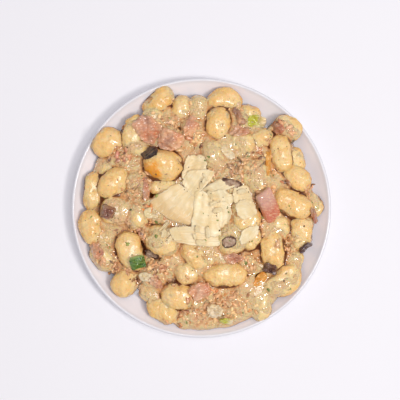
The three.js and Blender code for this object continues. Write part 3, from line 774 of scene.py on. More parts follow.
def chunk(node, seed, swell, squareness, ragged, bulges, ribs, rib_count, crumpled=0.7, rings=30, around=56):
    """One closed block of food in the place of a CAD node, sunk in the heap to its middle at most. Its
    outline is a rounded rectangle whose edge wanders by ragged, its faces swell and dip by bulges, ribs run
    along its length, it follows the heap under it by DRAPE, and is crumpled by crumpled mm. Both parameters
    are angles: one from the underside to the top, one round the outline."""
    middle, axes, half = seat(node)
    level = read_map(ground, middle[:1], middle[1:2])[0]
    middle[2] = max(middle[2], level + 0.1 * half[2])
    draw = np.random.default_rng(seed)
    rise = np.linspace(-math.pi / 2, math.pi / 2, rings + 2)[1:-1][:, None]
    swing = np.linspace(0, 2 * math.pi, around, endpoint=False)[None, :]
    heights = draw.normal(0, 1, 5) * LOBE_HEIGHTS
    lobes = sum(height * np.sin(number * swing + start)
                for number, height, start in zip(LOBES, heights, draw.uniform(0, 6.28, 5)))
    flank = rounded(np.cos(rise), WIDE_EDGE if half[0] > WIDE_PIECE else NARROW_EDGE) * (1 + ragged * lobes)
    x = flank * rounded(np.cos(swing), squareness) * swell[0]
    y = flank * rounded(np.sin(swing), squareness) * swell[1]
    z = rounded(np.sin(rise), FACE) * swell[2] + 0 * swing
    start = draw.uniform(0, 6.28, 6)
    dips = (np.sin(2.4 * x + start[0]) + np.sin(3.1 * y + start[1]) + np.sin(3.7 * (x + y) + start[2])
            + 0.5 * np.sin(9 * x + start[3]) * np.sin(7 * y + start[4]))
    z = z + bulges * dips + ribs * np.sin(rib_count * math.pi * y + 1.2 * x)
    unit = np.stack([x, y, z], -1)
    ends = middle + (np.array([[0, 0, z[0].mean()], [0, 0, z[-1].mean()]]) * half) @ axes
    points, quads, caps = pods((middle + (unit * half) @ axes)[None], ends[:1], ends[1:])
    points[:, 2] += DRAPE * (read_map(ground, points[:, 0], points[:, 1]) - level)
    outward = points - middle
    outward /= np.linalg.norm(outward, axis=1)[:, None] + 1e-9
    folds = ripple(points, seed, 5 * MM, 11 * MM, 12)
    folds = folds + 0.45 * ripple(points, seed + 50, 1.8 * MM, 4.5 * MM, 24)
    points = points + outward * (0.25 * crumpled * MM * folds)[:, None]
    points[:, 2] += crumpled * MM * folds
    return points, quads, caps, np.concatenate([unit.reshape(-1, 3), [[0, 0, -1], [0, 0, 1]]])


def join_chunks(name, parts):
    """Several closed bodies as one mesh, with each point's place in its own body as along and across. Returns
    the piece, and the number of the body that each point is in."""
    points, quads, caps, units = zip(*parts)
    sizes = [len(part) for part in points]
    starts = np.cumsum([0, *sizes[:-1]])
    points, unit = np.concatenate(points), np.concatenate(units)
    quads = np.concatenate([part + start for part, start in zip(quads, starts)])
    caps = np.concatenate([part + start for part, start in zip(caps, starts)])
    piece = facing_out(make_piece(name, points, quads, caps))
    set_values(piece, along=unit[:, 0], across=unit[:, 1], crease=crease_of(points))
    return piece, np.repeat(np.arange(len(sizes)), sizes)


# name, seed, swell, squareness, ragged, bulges, ribs, number of ribs, crumpled
HAM = [
    ("ham_chunk_right", 11, (1.04, 1.0, 1.3), 0.2, 0.03, 0.04, 0.03, 7, 0.25),
    ("ham_slice_left", 12, (1.15, 1.1, 1.8), 0.7, 0.07, 0.30, 0.16, 2, 1.0),
    ("ham_slice_ribbed", 13, (1.2, 1.15, 1.8), 0.7, 0.06, 0.2, 0.30, 3, 0.7),
    ("ham_bit_top", 14, (1.15, 1.15, 1.4), 0.8, 0.08, 0.3, 0.10, 3, 0.9),
    ("ham_strip_corner", 15, (1.2, 0.9, 1.2), 0.8, 0.12, 0.2, 0.1, 3, 0.8),
    ("ham_bit_upper", 16, (1.1, 1.1, 1.2), 0.8, 0.12, 0.2, 0.08, 3, 0.8),
    ("ham_shred_upper", 17, (1.15, 0.8, 1.2), 0.9, 0.16, 0.25, 0.1, 2, 0.7),
    ("ham_cube_left", 18, (0.85, 0.9, 1.7), 0.45, 0.1, 0.12, 0.08, 4, 0.45),
    ("ham_strip_edge", 19, (1.1, 1.1, 1.2), 0.8, 0.14, 0.2, 0.1, 3, 0.8),
    ("ham_chunk_bottom", 20, (1.05, 1.0, 1.2), 0.6, 0.12, 0.2, 0.12, 3, 0.9),
    ("ham_bit_dark", 21, (1.0, 0.9, 1.2), 0.9, 0.16, 0.3, 0.1, 3, 1.0),
    ("ham_bit_centre", 22, (1.1, 1.1, 1.2), 0.8, 0.12, 0.2, 0.1, 3, 0.8),
    ("ham_strip_rim", 23, (1.1, 0.9, 1.1), 0.8, 0.14, 0.2, 0.1, 2, 0.6),
    ("ham_shred_rim", 24, (1.2, 0.9, 1.2), 0.9, 0.2, 0.3, 0.1, 2, 0.9),
    ("ham_shred_low", 25, (1.1, 1.0, 1.2), 0.9, 0.16, 0.3, 0.1, 3, 0.8),
    ("ham_strip_side", 26, (1.0, 1.1, 1.2), 0.8, 0.14, 0.2, 0.1, 2, 0.6),
]
HAM_TINT = {  # darkness from 0 pink to 1 maroon, redness of the lean side, and violet of the other side
    "ham_cube_left": (0.8, 0.7, 0.9), "ham_bit_dark": (1.0, 0.4, 0), "ham_shred_rim": (1.1, 0.3, 0),
    "ham_shred_upper": (0.5, 0.3, 0), "ham_chunk_right": (0.02, 0.9, 0.8), "ham_slice_left": (0.1, 0.4, 0.4),
    "ham_slice_ribbed": (0.05, 0.25, 0.2), "ham_bit_top": (0.02, 0.35, 0),
    "ham_chunk_bottom": (0.03, 0.4, 0.2), "ham_strip_rim": (0.4, 0.8, 0), "ham_strip_corner": (0.2, 0.7, 0),
}
ham, ham_number = join_chunks("ham", [chunk(*row) for row in HAM])
dark, lean, violet = np.array([HAM_TINT.get(row[0], (0.15, 0.4, 0.1)) for row in HAM])[ham_number].T
set_values(ham, dark=dark, lean=lean, violet=violet)

HAM_PINK, HAM_SALMON, HAM_RED = tone(238, 192, 154), tone(236, 166, 118), tone(214, 108, 80)
HAM_GREY, HAM_BROWN = tone(184, 140, 118), tone(176, 118, 96)
HAM_MAROON, HAM_VIOLET, FAT = tone(66, 30, 28), tone(220, 164, 150), tone(244, 202, 160)
meat = Finish("cooked_ham", IOR=1.42, Subsurface_Weight=0.12, Subsurface_Scale=2 * MM,
              Subsurface_Radius=(1.0, 0.6, 0.4), Coat_Roughness=0.1, Coat_IOR=1.8, Specular_IOR_Level=0.25)
place, own = meat.place, meat.own
side = (own("along") + place.noise(130.0) * 0.9).ramp(-0.2, 0.9)
colour = place.noise(90.0).ramp(0.4, 0.6).mix(HAM_PINK, HAM_SALMON)
colour = place.noise(75.0, 2.0).ramp(0.5, 0.62, 0, 0.75).mix(colour, HAM_GREY)
colour = (side.taken_from(1.0) * own("violet")).mix(colour, HAM_VIOLET)
colour = (side * own("lean")).mix(colour, HAM_RED)
fibres = place.drawn_out(3.0).noise(320.0, 4.0, 0.6, 0.6)
colour = fibres.ramp(0.48, 0.66, 0, 0.7).mix(colour, FAT)
colour = place.noise(240.0, 3.0, 0.6, 0.5).ramp(0.55, 0.7, 0, 0.4).mix(colour, HAM_BROWN)
colour = (own("dark") * fibres.ramp(0.25, 0.6, 1.15, 0.8)).mix(colour, HAM_MAROON)


def border(own):
    """How near a point lies to the edge of its own body, from 0 in the middle to 1."""
    return own("along").maths("ABSOLUTE").maths("MAXIMUM", own("across").maths("ABSOLUTE"))


cream_over = (place.noise(130.0, 4.0, 0.6, 0.6) + border(own) * 0.2).ramp(0.6, 0.8, 0, 0.6)
strong = own("lean").maths("MAXIMUM", own("dark"))
colour = (cream_over * strong.taken_from(1.1)).mix(colour, CREAM_PINK)
# The creases of the ham get painted shade.
meat.cover(ham, Base_Color=crease_shaded(colour, own("crease") * 0.7),
           Roughness=place.noise(200.0, 2.0).ramp(0.3, 0.7, 0.3, 0.5),
           Coat_Weight=place.noise(260.0, 2.0).ramp(0.4, 0.58, 0.2, 1.0), Normal=fibres.bump(0.9 * MM))
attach(ham, "root")
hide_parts(*[row[0] for row in HAM])


# ---------------------------------------------------------------- mushroom
# Slices and shreds of cooked mushroom, dark brown to violet, with paler flesh where they were cut. They went
# into the pan with the ham and lie on the sauce.
MUSHROOM = [
    ("mushroom_dark", 31, (1.1, 0.9, 1.3), 0.7, 0.18, 0.3, 0.1, 3),
    ("mushroom_slice", 32, (1.0, 1.05, 1.1), 0.9, 0.06, 0.12, 0.0, 3),
    ("mushroom_edge", 33, (1.1, 0.9, 1.4), 0.8, 0.2, 0.3, 0.15, 3),
    ("mushroom_low", 34, (1.1, 0.9, 1.2), 0.9, 0.2, 0.3, 0.1, 2),
]
mushroom, mushroom_number = join_chunks("mushroom", [chunk(*row) for row in MUSHROOM])
set_values(mushroom, dark=np.array([0.95, 0.3, 0.35, 0.6])[mushroom_number])

FLESH_PALE, FLESH_TAN = tone(230, 198, 168), tone(180, 138, 112)
RIM_BROWN, CAP_BLACK = tone(104, 70, 56), tone(42, 28, 24)
gills = Finish("cooked_mushroom", IOR=1.4, Coat_Roughness=0.1)
place, own = gills.place, gills.own
wet = place.noise(240.0, 4.0, 0.6, 0.8)
colour = wet.ramp(0.4, 0.62).mix(FLESH_PALE, FLESH_TAN)
rim = own("along").maths("POWER", 2.0) + own("across").maths("POWER", 2.0)
colour = (rim + wet * 0.5).ramp(0.7, 1.15).mix(colour, RIM_BROWN)
colour = (own("dark") * wet.ramp(0.3, 0.62, 1.1, 0.75)).mix(colour, CAP_BLACK)
# The creases of the mushroom get painted shade.
gills.cover(mushroom, Base_Color=crease_shaded(colour, own("crease") * 0.6),
            Roughness=wet.ramp(0.3, 0.7, 0.25, 0.5),
            Coat_Weight=place.noise(300.0, 2.0).ramp(0.45, 0.6, 0.1, 0.8), Normal=wet.bump(0.5 * MM))
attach(mushroom, "root")
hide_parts(*[row[0] for row in MUSHROOM])


# ---------------------------------------------------------------- onion
# Softened pieces of spring onion: glassy pale layers, some greener towards the leaf. They were cut across the
# stalk, stewed with the ham, and lie in the sauce.
ONION = [
    ("onion_corner", 41, (1.05, 1.0, 1.0), 0.6, 0.08, 0.1, 0.14, 3),
    ("onion_white", 42, (1.25, 1.2, 1.3), 0.8, 0.16, 0.2, 0.14, 3),
    ("onion_green", 43, (1.0, 1.0, 0.9), 0.8, 0.14, 0.12, 0.12, 3),
    ("onion_clear", 44, (1.1, 0.9, 1.0), 0.7, 0.12, 0.15, 0.15, 3),
    ("onion_low", 45, (1.1, 1.0, 1.0), 0.8, 0.14, 0.15, 0.1, 3),
    ("onion_left", 46, (1.0, 1.0, 1.0), 0.7, 0.1, 0.12, 0.1, 3),
]
onion, onion_number = join_chunks("onion", [chunk(*row) for row in ONION])
set_values(onion, green=np.array([0.75, 0.0, 0.95, 0.03, 0.03, 0.12])[onion_number])

LAYER_WHITE, LAYER_CREAM, LAYER_GREEN = tone(246, 226, 194), tone(232, 204, 156), tone(194, 190, 66)
layers = Finish("soft_onion", IOR=1.38, Subsurface_Weight=0.25, Subsurface_Scale=3 * MM,
                Subsurface_Radius=(1.0, 0.85, 0.6), Coat_Weight=0.6, Coat_Roughness=0.08)
place, own = layers.place, layers.own
veins = place.drawn_out(4.0).noise(180.0)
colour = veins.ramp(0.35, 0.65).mix(LAYER_WHITE, LAYER_CREAM)
leafy = own("green") * own("along").taken_from(veins * 1.6).ramp(-0.2, 1.4)
colour = (leafy * 1.6).maths("MINIMUM", 1.0).mix(colour, LAYER_GREEN)
# The creases of the onion get painted shade.
layers.cover(onion, Base_Color=crease_shaded(colour, own("crease") * 0.6), Roughness=veins.ramp(0.3, 0.7, 0.2, 0.4),
             Normal=veins.bump(0.3 * MM))
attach(onion, "root")
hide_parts(*[row[0] for row in ONION])


# ---------------------------------------------------------------- spring onion
# One raw piece of spring onion leaf, deep green and shining, folded over itself. It was cut with scissors and
# dropped on top of a gnocco.
LEAF_DEEP, LEAF_LIGHT, LEAF_EDGE_HIGHLIGHT = tone(48, 88, 24), tone(116, 148, 68), tone(176, 196, 120)
LEAF = ("spring_onion", 51, (1.0, 1.0, 0.8), 0.35, 0.04, 0.10, 0.22, 2)
spring, _ = join_chunks("spring_onion_leaf", [chunk(*LEAF, rings=40, around=60)])
leaf_green = Finish("onion_leaf", IOR=1.45, Coat_Weight=0.7, Coat_Roughness=0.07)
stripes = leaf_green.place.drawn_out(6.0, -15).noise(160.0)
colour = stripes.ramp(0.35, 0.65).mix(LEAF_DEEP, LEAF_LIGHT)
# Painted highlight: one edge of the leaf is painted paler, standing in for the light along it.
edge = leaf_green.own("across").ramp(0.55, 1.0) * 0.6
leaf_green.cover(spring, Base_Color=edge.mix(colour, LEAF_EDGE_HIGHLIGHT), Roughness=stripes.ramp(0.3, 0.7, 0.18, 0.36),
                 Normal=stripes.bump(0.3 * MM))
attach(spring, "root")
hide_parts("spring_onion")


# ---------------------------------------------------------------- carrot
# Thin orange strips of cooked carrot, grated and stewed soft, one standing along the side of a gnocco and one
# folded.
CARROT = [("carrot_strip", 61, (1.0, 0.9, 1.2), 0.7, 0.08, 0.15, 0.1, 2),
          ("carrot_bit", 62, (1.1, 1.0, 1.1), 0.7, 0.12, 0.15, 0.1, 2)]
CARROT_DEEP, CARROT_LIGHT = tone(224, 150, 60), tone(236, 178, 96)
carrot, _ = join_chunks("carrot", [chunk(*row) for row in CARROT])
orange = Finish("soft_carrot", IOR=1.4, Subsurface_Weight=0.15, Subsurface_Scale=2 * MM,
                Coat_Weight=0.5, Coat_Roughness=0.1)
grainy = orange.place.noise(260.0)
colour = grainy.ramp(0.35, 0.65).mix(CARROT_DEEP, CARROT_LIGHT)
# The creases of the carrot get painted shade.
orange.cover(carrot, Base_Color=crease_shaded(colour, orange.own("crease") * 0.5),
             Roughness=grainy.ramp(0.3, 0.7, 0.25, 0.45), Normal=grainy.bump(0.3 * MM))
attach(carrot, "root")
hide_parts("carrot_strip", "carrot_bit")


# ---------------------------------------------------------------- parmesan
# Hard cheese shaved off a block with a wide blade: thin sheets that curl, with a straight knife edge on some
# sides and torn edges on others, piled loosely on the crown of the heap.
pile = heap_top.copy()  # height map of what is already there, for the next shaving to rest on
SHAVING_CLEAR, SAGGING_CLEAR = 0.3 * MM, 0.25 * MM
TEAR_U = ((1, 0, 3), (0.7, 0, 7), (0.5, 0, 13), (0.3, 0, 24))
TEAR_V = ((1, 3, 0), (0.7, 8, 0), (0.5, 15, 0), (0.3, 27, 0))
CRIMPS = ((1, 2.6, 1.1), (0.6, -1.6, 3.9), (0.35, 8, 3), (0.15, 2, 17))


def finer(grid):
    """The grid with a new row and column half way between each two."""
    for axis in (0, 1):
        first = np.take(grid, range(grid.shape[axis] - 1), axis)
        second = np.take(grid, range(1, grid.shape[axis]), axis)
        halves = np.stack([first, (first + second) / 2], axis + 1)
        halves = halves.reshape(*grid.shape[:axis], -1, *grid.shape[axis + 1:])
        grid = np.concatenate([halves, np.take(grid, [-1], axis)], axis)
    return grid


def nearest(place):
    return np.clip(np.round((place + MAP_HALF) / MAP_PITCH).astype(int), 0, MAP_STEPS - 1)


def slab(top, bottom):
    """Closed body between two grids of points, with a strip all round joining their edges."""
    cells, border = grid_faces(top)
    after = np.roll(border, -1)
    size = top[..., 0].size
    strip = np.stack([border, after, after + size, border + size], -1)
    return (np.concatenate([top.reshape(-1, 3), bottom.reshape(-1, 3)]),
            np.concatenate([cells, cells[:, ::-1] + size, strip]))


def shaving(seed, corners, bows=(0, 0, 0, 0), lifts=(0, 0, 0, 0), curl=(0.0, 0.0), crimp=0.6, torn=0.04,
            thick=0.9, perch=0.8, stiff=0.5, rows=46, columns=34):
    """Thin closed sheet. Its four corners (mm) are carried into a grid by
    P(u, v) = sum of corners weighted by (1 +- u)(1 +- v) / 4, with the middle of each edge pushed out by its
    bow. Its edges are torn by small waves, it is lifted at its corners, curled by curl (mm at the edge),
    waved by crimp, and rests on what lies under it, clear of the share perch of it. It bends over the rest,
    the less the stiffer it is."""
    draw = np.random.default_rng(seed)
    u, v = np.meshgrid(np.linspace(-1, 1, rows), np.linspace(-1, 1, columns), indexing="ij")
    starts = draw.uniform(0, 6.28, 12)
    a = u * (1 - 0.06 * np.abs(v) ** 5) + torn * waves(u, v, starts[:4], TEAR_U) * np.abs(u) ** 3
    b = v * (1 - 0.06 * np.abs(u) ** 5) + torn * waves(u, v, starts[4:8], TEAR_V) * np.abs(v) ** 3
    weights = np.stack([(1 - a) * (1 - b), (1 + a) * (1 - b), (1 + a) * (1 + b), (1 - a) * (1 + b)]) / 4
    corners = np.array(corners) * MM
    flat = np.einsum("kij,kc->ijc", weights, corners)
    swells = np.stack([(1 - u ** 2) * (1 - v), (1 - v ** 2) * (1 + u),
                       (1 - u ** 2) * (1 + v), (1 - v ** 2) * (1 - u)]) / 2
    for bow, swell, one, other in zip(bows, swells, corners, np.roll(corners, -1, 0)):
        out = (one + other) / 2 - corners.mean(0)
        flat = flat + swell[..., None] * bow * MM * out / np.hypot(*out)
    raised = np.einsum("kij,k->ij", weights, np.array(lifts))
    wave = waves(u, v, starts[8:], CRIMPS) * crimp
    shape = (raised + curl[0] * u ** 2 + curl[1] * v ** 2 + wave) * MM
    under = read_map(pile, flat[..., 0], flat[..., 1])
    # A plane fitted to what lies under the sheet, then raised until most of it is clear.
    base = np.stack([flat[..., 0].ravel(), flat[..., 1].ravel(), np.ones(u.size)], 1)
    plane = (base @ np.linalg.lstsq(base, under.ravel(), rcond=None)[0]).reshape(under.shape)
    level = plane + shape
    level = level + max(np.quantile(under - level, perch), 0) + SHAVING_CLEAR
    over = under + SAGGING_CLEAR - level
    level = np.where(over > 0, level + over * (1 - stiff), level)
    to_edge = np.maximum(np.abs(u), np.abs(v))
    thickness = thick * MM * (0.4 + 0.6 * np.sqrt(np.clip(1 - to_edge ** 6, 0, 1)))
    top = np.dstack([flat, level + thickness])
    fine = finer(finer(top))
    np.maximum.at(pile, (nearest(fine[..., 1]), nearest(fine[..., 0])), fine[..., 2])
    unit = np.tile(np.stack([u, v, 0 * u], -1).reshape(-1, 3), (2, 1))
    return *slab(top, np.dstack([flat, level])), np.empty((0, 3), int), unit


# In mm: corners from the plate's axis, bows of the edges after each corner, and lifts at the corners.
SHAVINGS = {
    "shaving_long": dict(seed=76, corners=((-30, -17), (17, -18), (14.5, -32), (-28, -27)),
         bows=(2.5, 1, 1, 1), curl=(-0.5, 0.5)),
    "shaving_broad": dict(seed=71, corners=((-44.5, 4.4), (-19, 22), (1, 4), (-9, -15)), bows=(1, 0, 1, 3.5),
         curl=(-0.6, -1.0), torn=0.025),
    "shaving_sliver": dict(seed=74, corners=((-8.4, 10.3), (15.5, 25), (29, 18), (5, 9)), torn=0.03),
    "shaving_back": dict(seed=79, corners=((5, 11.5), (18, 16), (29, 7), (13, 2)), bows=(1, 1, 2, 0),
         curl=(0.8, 0.9), torn=0.06),
    "shaving_right": dict(seed=78, corners=((10.4, 4.4), (21, 5), (25, -10), (12, -17)), bows=(1, 2, 1, 1),
         curl=(0.6, 1.0), torn=0.07),
    "shaving_band": dict(seed=75, corners=((-5, 14), (8, 12), (17.5, -23), (-9, -18)), bows=(1, 0, 2, 0),
         lifts=(0.6, 0.6, -0.4, 0), curl=(-1.0, 0.5), torn=0.035),
    "shaving_upright": dict(seed=73, corners=((-12.5, 43), (1.9, 44), (5, 29), (-16, 21.8)),
         bows=(1, 1, 0, 1), torn=0.05, crimp=0.8),
    "shaving_curl_top": dict(seed=72, corners=((13, 30.5), (-6.4, 9), (-16.3, 20.4), (-9.8, 31.5)),
         bows=(1, 0, 1, 1), lifts=(2.6, 2.4, 0, 1), curl=(1.4, 0.3), torn=0.025),
    "shaving_far_right": dict(seed=80, corners=((26, 17), (38, 19), (43.5, 3), (27, 4)), bows=(2, 1, 1, 0),
         curl=(-0.6, -0.4), torn=0.05),
    "shaving_rolled": dict(seed=77, corners=((-35.5, -18.5), (-29, -11), (-26.5, -13), (-33, -20.5)),
         curl=(0.2, 1.2), torn=0.04),
}
AGED = {"shaving_long": 0.25, "shaving_broad": 0.75, "shaving_right": 0.1, "shaving_upright": 0.2,
        "shaving_curl_top": 0.1}  # how much darker it is where it was near the rind
parmesan, shaving_number = join_chunks("parmesan_shavings", [shaving(**row) for row in SHAVINGS.values()])
set_values(parmesan, aged=np.array([AGED.get(name, 0) for name in SHAVINGS])[shaving_number])

CHEESE_PALE, CHEESE_WARM, CHEESE_AGED = tone(251, 231, 190), tone(244, 215, 162), tone(222, 184, 128)
CHEESE_STREAK, CHEESE_BRIGHT, CHEESE_CREASE_SHADE = tone(246, 212, 150), tone(255, 242, 212), tone(230, 180, 104)
hard_cheese = Finish("hard_cheese", IOR=1.45, Subsurface_Weight=0.15, Subsurface_Scale=2 * MM,
                     Subsurface_Radius=(1.0, 0.8, 0.55), Coat_Weight=0.25, Coat_Roughness=0.2)
place, own = hard_cheese.place, hard_cheese.own
cloudy = place.noise(90.0)
colour = cloudy.ramp(0.35, 0.65).mix(CHEESE_PALE, CHEESE_WARM)
knife_lines = {"X": own("along") * 1.5, "Y": own("across") * 13.0}
streaks = place.node("ShaderNodeCombineXYZ", knife_lines, "Vector").noise(1.0)
rindward = own("along") + cloudy * 0.8
colour = (own("aged") * rindward.ramp(-0.6, 0.9, 1.2, 0.25)).mix(colour, CHEESE_AGED)
colour = streaks.ramp(0.46, 0.66, 0, 0.3).mix(colour, CHEESE_STREAK)
colour = streaks.ramp(0.3, 0.44, 0.6, 0).mix(colour, CHEESE_BRIGHT)
# Painted highlight: each sheet's edge is painted lighter, for the light its thin curled rim catches.
colour = border(own).ramp(0.93, 1.0, 0, 0.5).mix(colour, CHEESE_BRIGHT)
# Painted shade: creases and the gaps between the sheets are painted deeper yellow.
colour = own("crease").ramp(0.02, 0.4, 0, 0.7).mix(colour, CHEESE_CREASE_SHADE)
hard_cheese.cover(parmesan, Base_Color=colour, Roughness=cloudy.ramp(0.3, 0.7, 0.38, 0.55),
                  Normal=(place.noise(420.0) + streaks * 1.4).bump(0.35 * MM))
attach(parmesan, "root")
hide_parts(*SHAVINGS)


# ---------------------------------------------------------------- crumbs
# What is chopped small in the sauce and over it: shreds of ham, browned crumbs, cheese, bits of leaf, and
# ground pepper. Each is a small uneven body half sunk in the surface.
slope_y, slope_x = np.gradient(blurred(heap_top, 0.8 * MM), MAP_PITCH)
CRUMB_RINGS, CRUMB_AROUND = 4, 7
STREWN_RADIUS, EDGE_CLEAR = 103 * MM, 1.2 * MM


def morsels(name, x, y, size, tints, seed, sink=0.15, on=heap_top):
    """Many small closed bodies lying on the heap. size is (number, 3): length, width and height; tints is
    (number, 3) sRGB in steps of 255. Rings run from end to end, and every point is moved a little."""
    draw = np.random.default_rng(seed)
    number = len(x)
    up = np.stack([-read_map(slope_x, x, y), -read_map(slope_y, x, y), np.ones(number)], 1)
    up /= np.linalg.norm(up, axis=1)[:, None]
    heading = draw.uniform(0, 2 * math.pi, number)
    flat = np.stack([np.cos(heading), np.sin(heading), draw.normal(0, 0.35, number)], 1)
    long = flat - up * (flat * up).sum(1)[:, None]
    long /= np.linalg.norm(long, axis=1)[:, None]
    wide = np.cross(up, long)
    t = np.radians(np.linspace(-62, 62, CRUMB_RINGS))[None, :, None]
    turned = np.linspace(0, 2 * math.pi, CRUMB_AROUND, endpoint=False)[None, None, :]
    rough = 1 + draw.normal(0, 0.17, (3, number, CRUMB_RINGS, CRUMB_AROUND))
    half = size[:, :, None, None] / 2
    local = (np.sin(t) * half[:, 0] * rough[0], np.cos(t) ** 0.7 * np.cos(turned) * half[:, 1] * rough[1],
             np.cos(t) ** 0.7 * np.sin(turned) * half[:, 2] * rough[2])
    middle = np.stack([x, y, read_map(on, x, y) + size[:, 2] * (0.5 - sink - 0.25)], 1)
    rings = middle[:, None, None] + sum(part[..., None] * axis[:, None, None]
                                        for part, axis in zip(local, (long, wide, up)))
    points, quads, caps = pods(rings, *(middle + side * long * size[:, :1] / 2 for side in (-1, 1)))
    piece = facing_out(make_piece(name, points, quads, caps))
    each = CRUMB_RINGS * CRUMB_AROUND + 2
    colours = np.ones((number * each, 4), np.float32)
    colours[:, :3] = np.repeat(linear(np.clip(tints, 0, 255) / 255), each, 0)
    piece.data.attributes.new("tint", "FLOAT_COLOR", "POINT").data.foreach_set("color", colours.ravel())
    set_values(piece, crease=crease_of(points) * 0.4)
    return piece


def crumb_finish(name, piece, shade, gloss, grain_scale):
    """Wet crumbs: each in its own tint, mottled towards a shade of the same food."""
    wet = Finish(name, IOR=1.42, Coat_Roughness=0.1)
    mottle = wet.place.noise(grain_scale)
    colour = mottle.ramp(0.4, 0.6, 0.1, 0.75).mix(wet.own("tint", "Color"), shade)
    # The creases of the crumbs get painted shade.
    wet.cover(piece, Base_Color=crease_shaded(colour, wet.own("crease")),
              Roughness=mottle.ramp(0.3, 0.7, 0.22, 0.5), Normal=mottle.bump(0.3 * MM),
              Coat_Weight=wet.place.noise(380.0, 2.0).ramp(0.45, 0.6, 0.1, gloss))


def palette(draw, number, rows):
    """Tints drawn from rows of (share, red, green, blue), each varied a little in lightness and in hue."""
    rows = np.array(rows, float)
    pick = draw.choice(len(rows), number, p=rows[:, 0] / rows[:, 0].sum())
    return rows[pick, 1:] * draw.normal(1, 0.04, (number, 1)) + draw.normal(0, 2, (number, 3))


def crumb_sizes(draw, number, middle, spread, flat=0.45, slim=0.62, largest=5.0):
    """Length, width and height of each crumb. Lengths (mm) spread about the middle by a bell curve of their
    logarithm, and the others are shares of them."""
    length = np.minimum(middle * np.exp(draw.normal(0, spread, number)), largest) * MM
    width = length * slim * draw.uniform(0.7, 1.3, number)
    return np.stack([length, width, length * flat * draw.uniform(0.7, 1.3, number)], 1)


def strewn(draw, tries, chance, placed=()):
    """Places spread over the heap, each kept by a chance read from a map, then those given (mm)."""
    radius = np.sqrt(draw.uniform(0, 1, tries)) * STREWN_RADIUS
    turned = draw.uniform(0, 2 * math.pi, tries)
    x, y = radius * np.cos(turned), radius * np.sin(turned)
    inside = radius < edge_at(x, y) - EDGE_CLEAR
    keep = inside & (draw.uniform(0, 1, tries) < read_map(chance, x, y))
    placed_x, placed_y = np.reshape(placed, (-1, 2)).T * MM
    return np.concatenate([x[keep], placed_x]), np.concatenate([y[keep], placed_y])


in_sauce = blurred((sauce_top > bare_top + 0.1 * MM).astype(float), 0.4 * MM)
clear_of_cheese = 1 - blurred((pile > heap_top + 0.3 * MM).astype(float), 0.6 * MM)

draw = np.random.default_rng(101)
gathered = 0.12 + 0.42 * crumbly + 0.10 * np.clip(speckle(11, 5 * MM), -1, 2)
x, y = strewn(draw, 4600, np.clip(in_sauce * gathered, 0.02, 1) * clear_of_cheese)
HAM_CRUMBS = [(44, 255, 211, 154), (22, 252, 194, 140), (12, 246, 180, 130), (6, 228, 150, 110),
              (8, 228, 172, 118), (6, 170, 104, 68), (3, 110, 62, 44), (1, 90, 58, 50), (2, 156, 112, 104)]
size = crumb_sizes(draw, len(x), 2.4, 0.42, flat=0.4, slim=0.65, largest=6.5)
crumbs = morsels("ham_crumbs", x, y, size, palette(draw, len(x), HAM_CRUMBS), 102, sink=0.28)
crumb_finish("ham_crumb", crumbs, tone(255, 210, 148), 0.9, 300.0)
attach(crumbs, "root")

# x, y, length, width, red, green, blue of the clusters of shreds that stand out
CLUSTERS = np.array([
    [8.2, -69.4, 9, 6, 226, 140, 79], [-43.7, -0.4, 8, 5, 224, 140, 56], [-46, 1.5, 5, 4, 214, 110, 47],
    [-40, -47, 9, 6, 236, 168, 113], [42, -85.9, 7, 5, 222, 150, 85], [-66, 69.5, 6, 5, 176, 108, 58],
    [-17.5, -99, 8, 5, 206, 128, 66], [-12, -87, 11, 6, 150, 76, 44], [-0.8, 52.1, 5, 3, 130, 42, 23],
    [51.4, 43.1, 7, 3, 110, 66, 47], [25.1, 35.5, 10, 4, 110, 72, 51], [-25, -60.5, 8, 5, 120, 80, 72],
    [-51, -63, 8, 6, 140, 91, 76], [-70.6, -19.5, 7, 5, 150, 104, 83], [-68, 44, 15, 9, 190, 122, 102],
    [-63, 46, 8, 6, 206, 130, 94], [-73, -51, 7, 11, 160, 93, 70], [-50.2, -22.8, 7, 10, 214, 156, 130],
    [90, 16, 8, 14, 216, 158, 122], [62, 71, 8, 6, 222, 120, 86], [75, 62, 9, 9, 226, 170, 132],
    [-60, -52, 8, 6, 226, 170, 128], [-33, -50, 10, 7, 190, 116, 86], [-40, -58, 11, 8, 206, 130, 98],
    [8, 30, 14, 9, 214, 168, 126], [33, 40, 14, 9, 214, 164, 118], [26, 30, 14, 9, 200, 150, 109],
    [70, 22, 7, 5, 214, 130, 83], [50, 48, 9, 6, 206, 118, 71], [-60, -12, 8, 7, 214, 160, 120],
    [-56, 14, 12, 13, 226, 168, 118], [-50, 24, 8, 8, 210, 144, 102], [40, -50, 10, 8, 220, 166, 117],
    [74, -34, 9, 9, 206, 146, 92], [66, -30, 7, 5, 222, 170, 122], [13, -76, 12, 9, 226, 180, 133],
    [29, -72, 9, 8, 220, 172, 124], [-28, -95, 8, 5, 222, 150, 94], [-10, -76, 9, 7, 200, 128, 90],
    [0, -81, 9, 7, 214, 160, 117], [24, -92, 10, 8, 232, 190, 141], [-24, 70, 12, 8, 234, 190, 150],
    [-8, 58, 8, 10, 214, 140, 94], [47, 10, 6, 14, 206, 150, 111], [56, 58, 8, 6, 200, 140, 103],
    [33, 68, 12, 8, 196, 146, 117], [-86, -34, 10, 8, 206, 160, 128], [-82, -44, 9, 9, 210, 150, 111],
])
SHADED = 0.22  # share of the shreds that are dark
AREA_EACH = 7.5  # square mm


def clustered(draw, rows, area_each):
    """Places, and the row each belongs to, spread over the ellipse of every row."""
    numbers = np.maximum((rows[:, 2] * rows[:, 3] / area_each).astype(int), 3)
    row = np.repeat(np.arange(len(rows)), numbers)
    spread = draw.normal(0, 0.27, (len(row), 2)) * rows[row, 2:4]
    return (rows[row, 0] + spread[:, 0]) * MM, (rows[row, 1] + spread[:, 1]) * MM, row


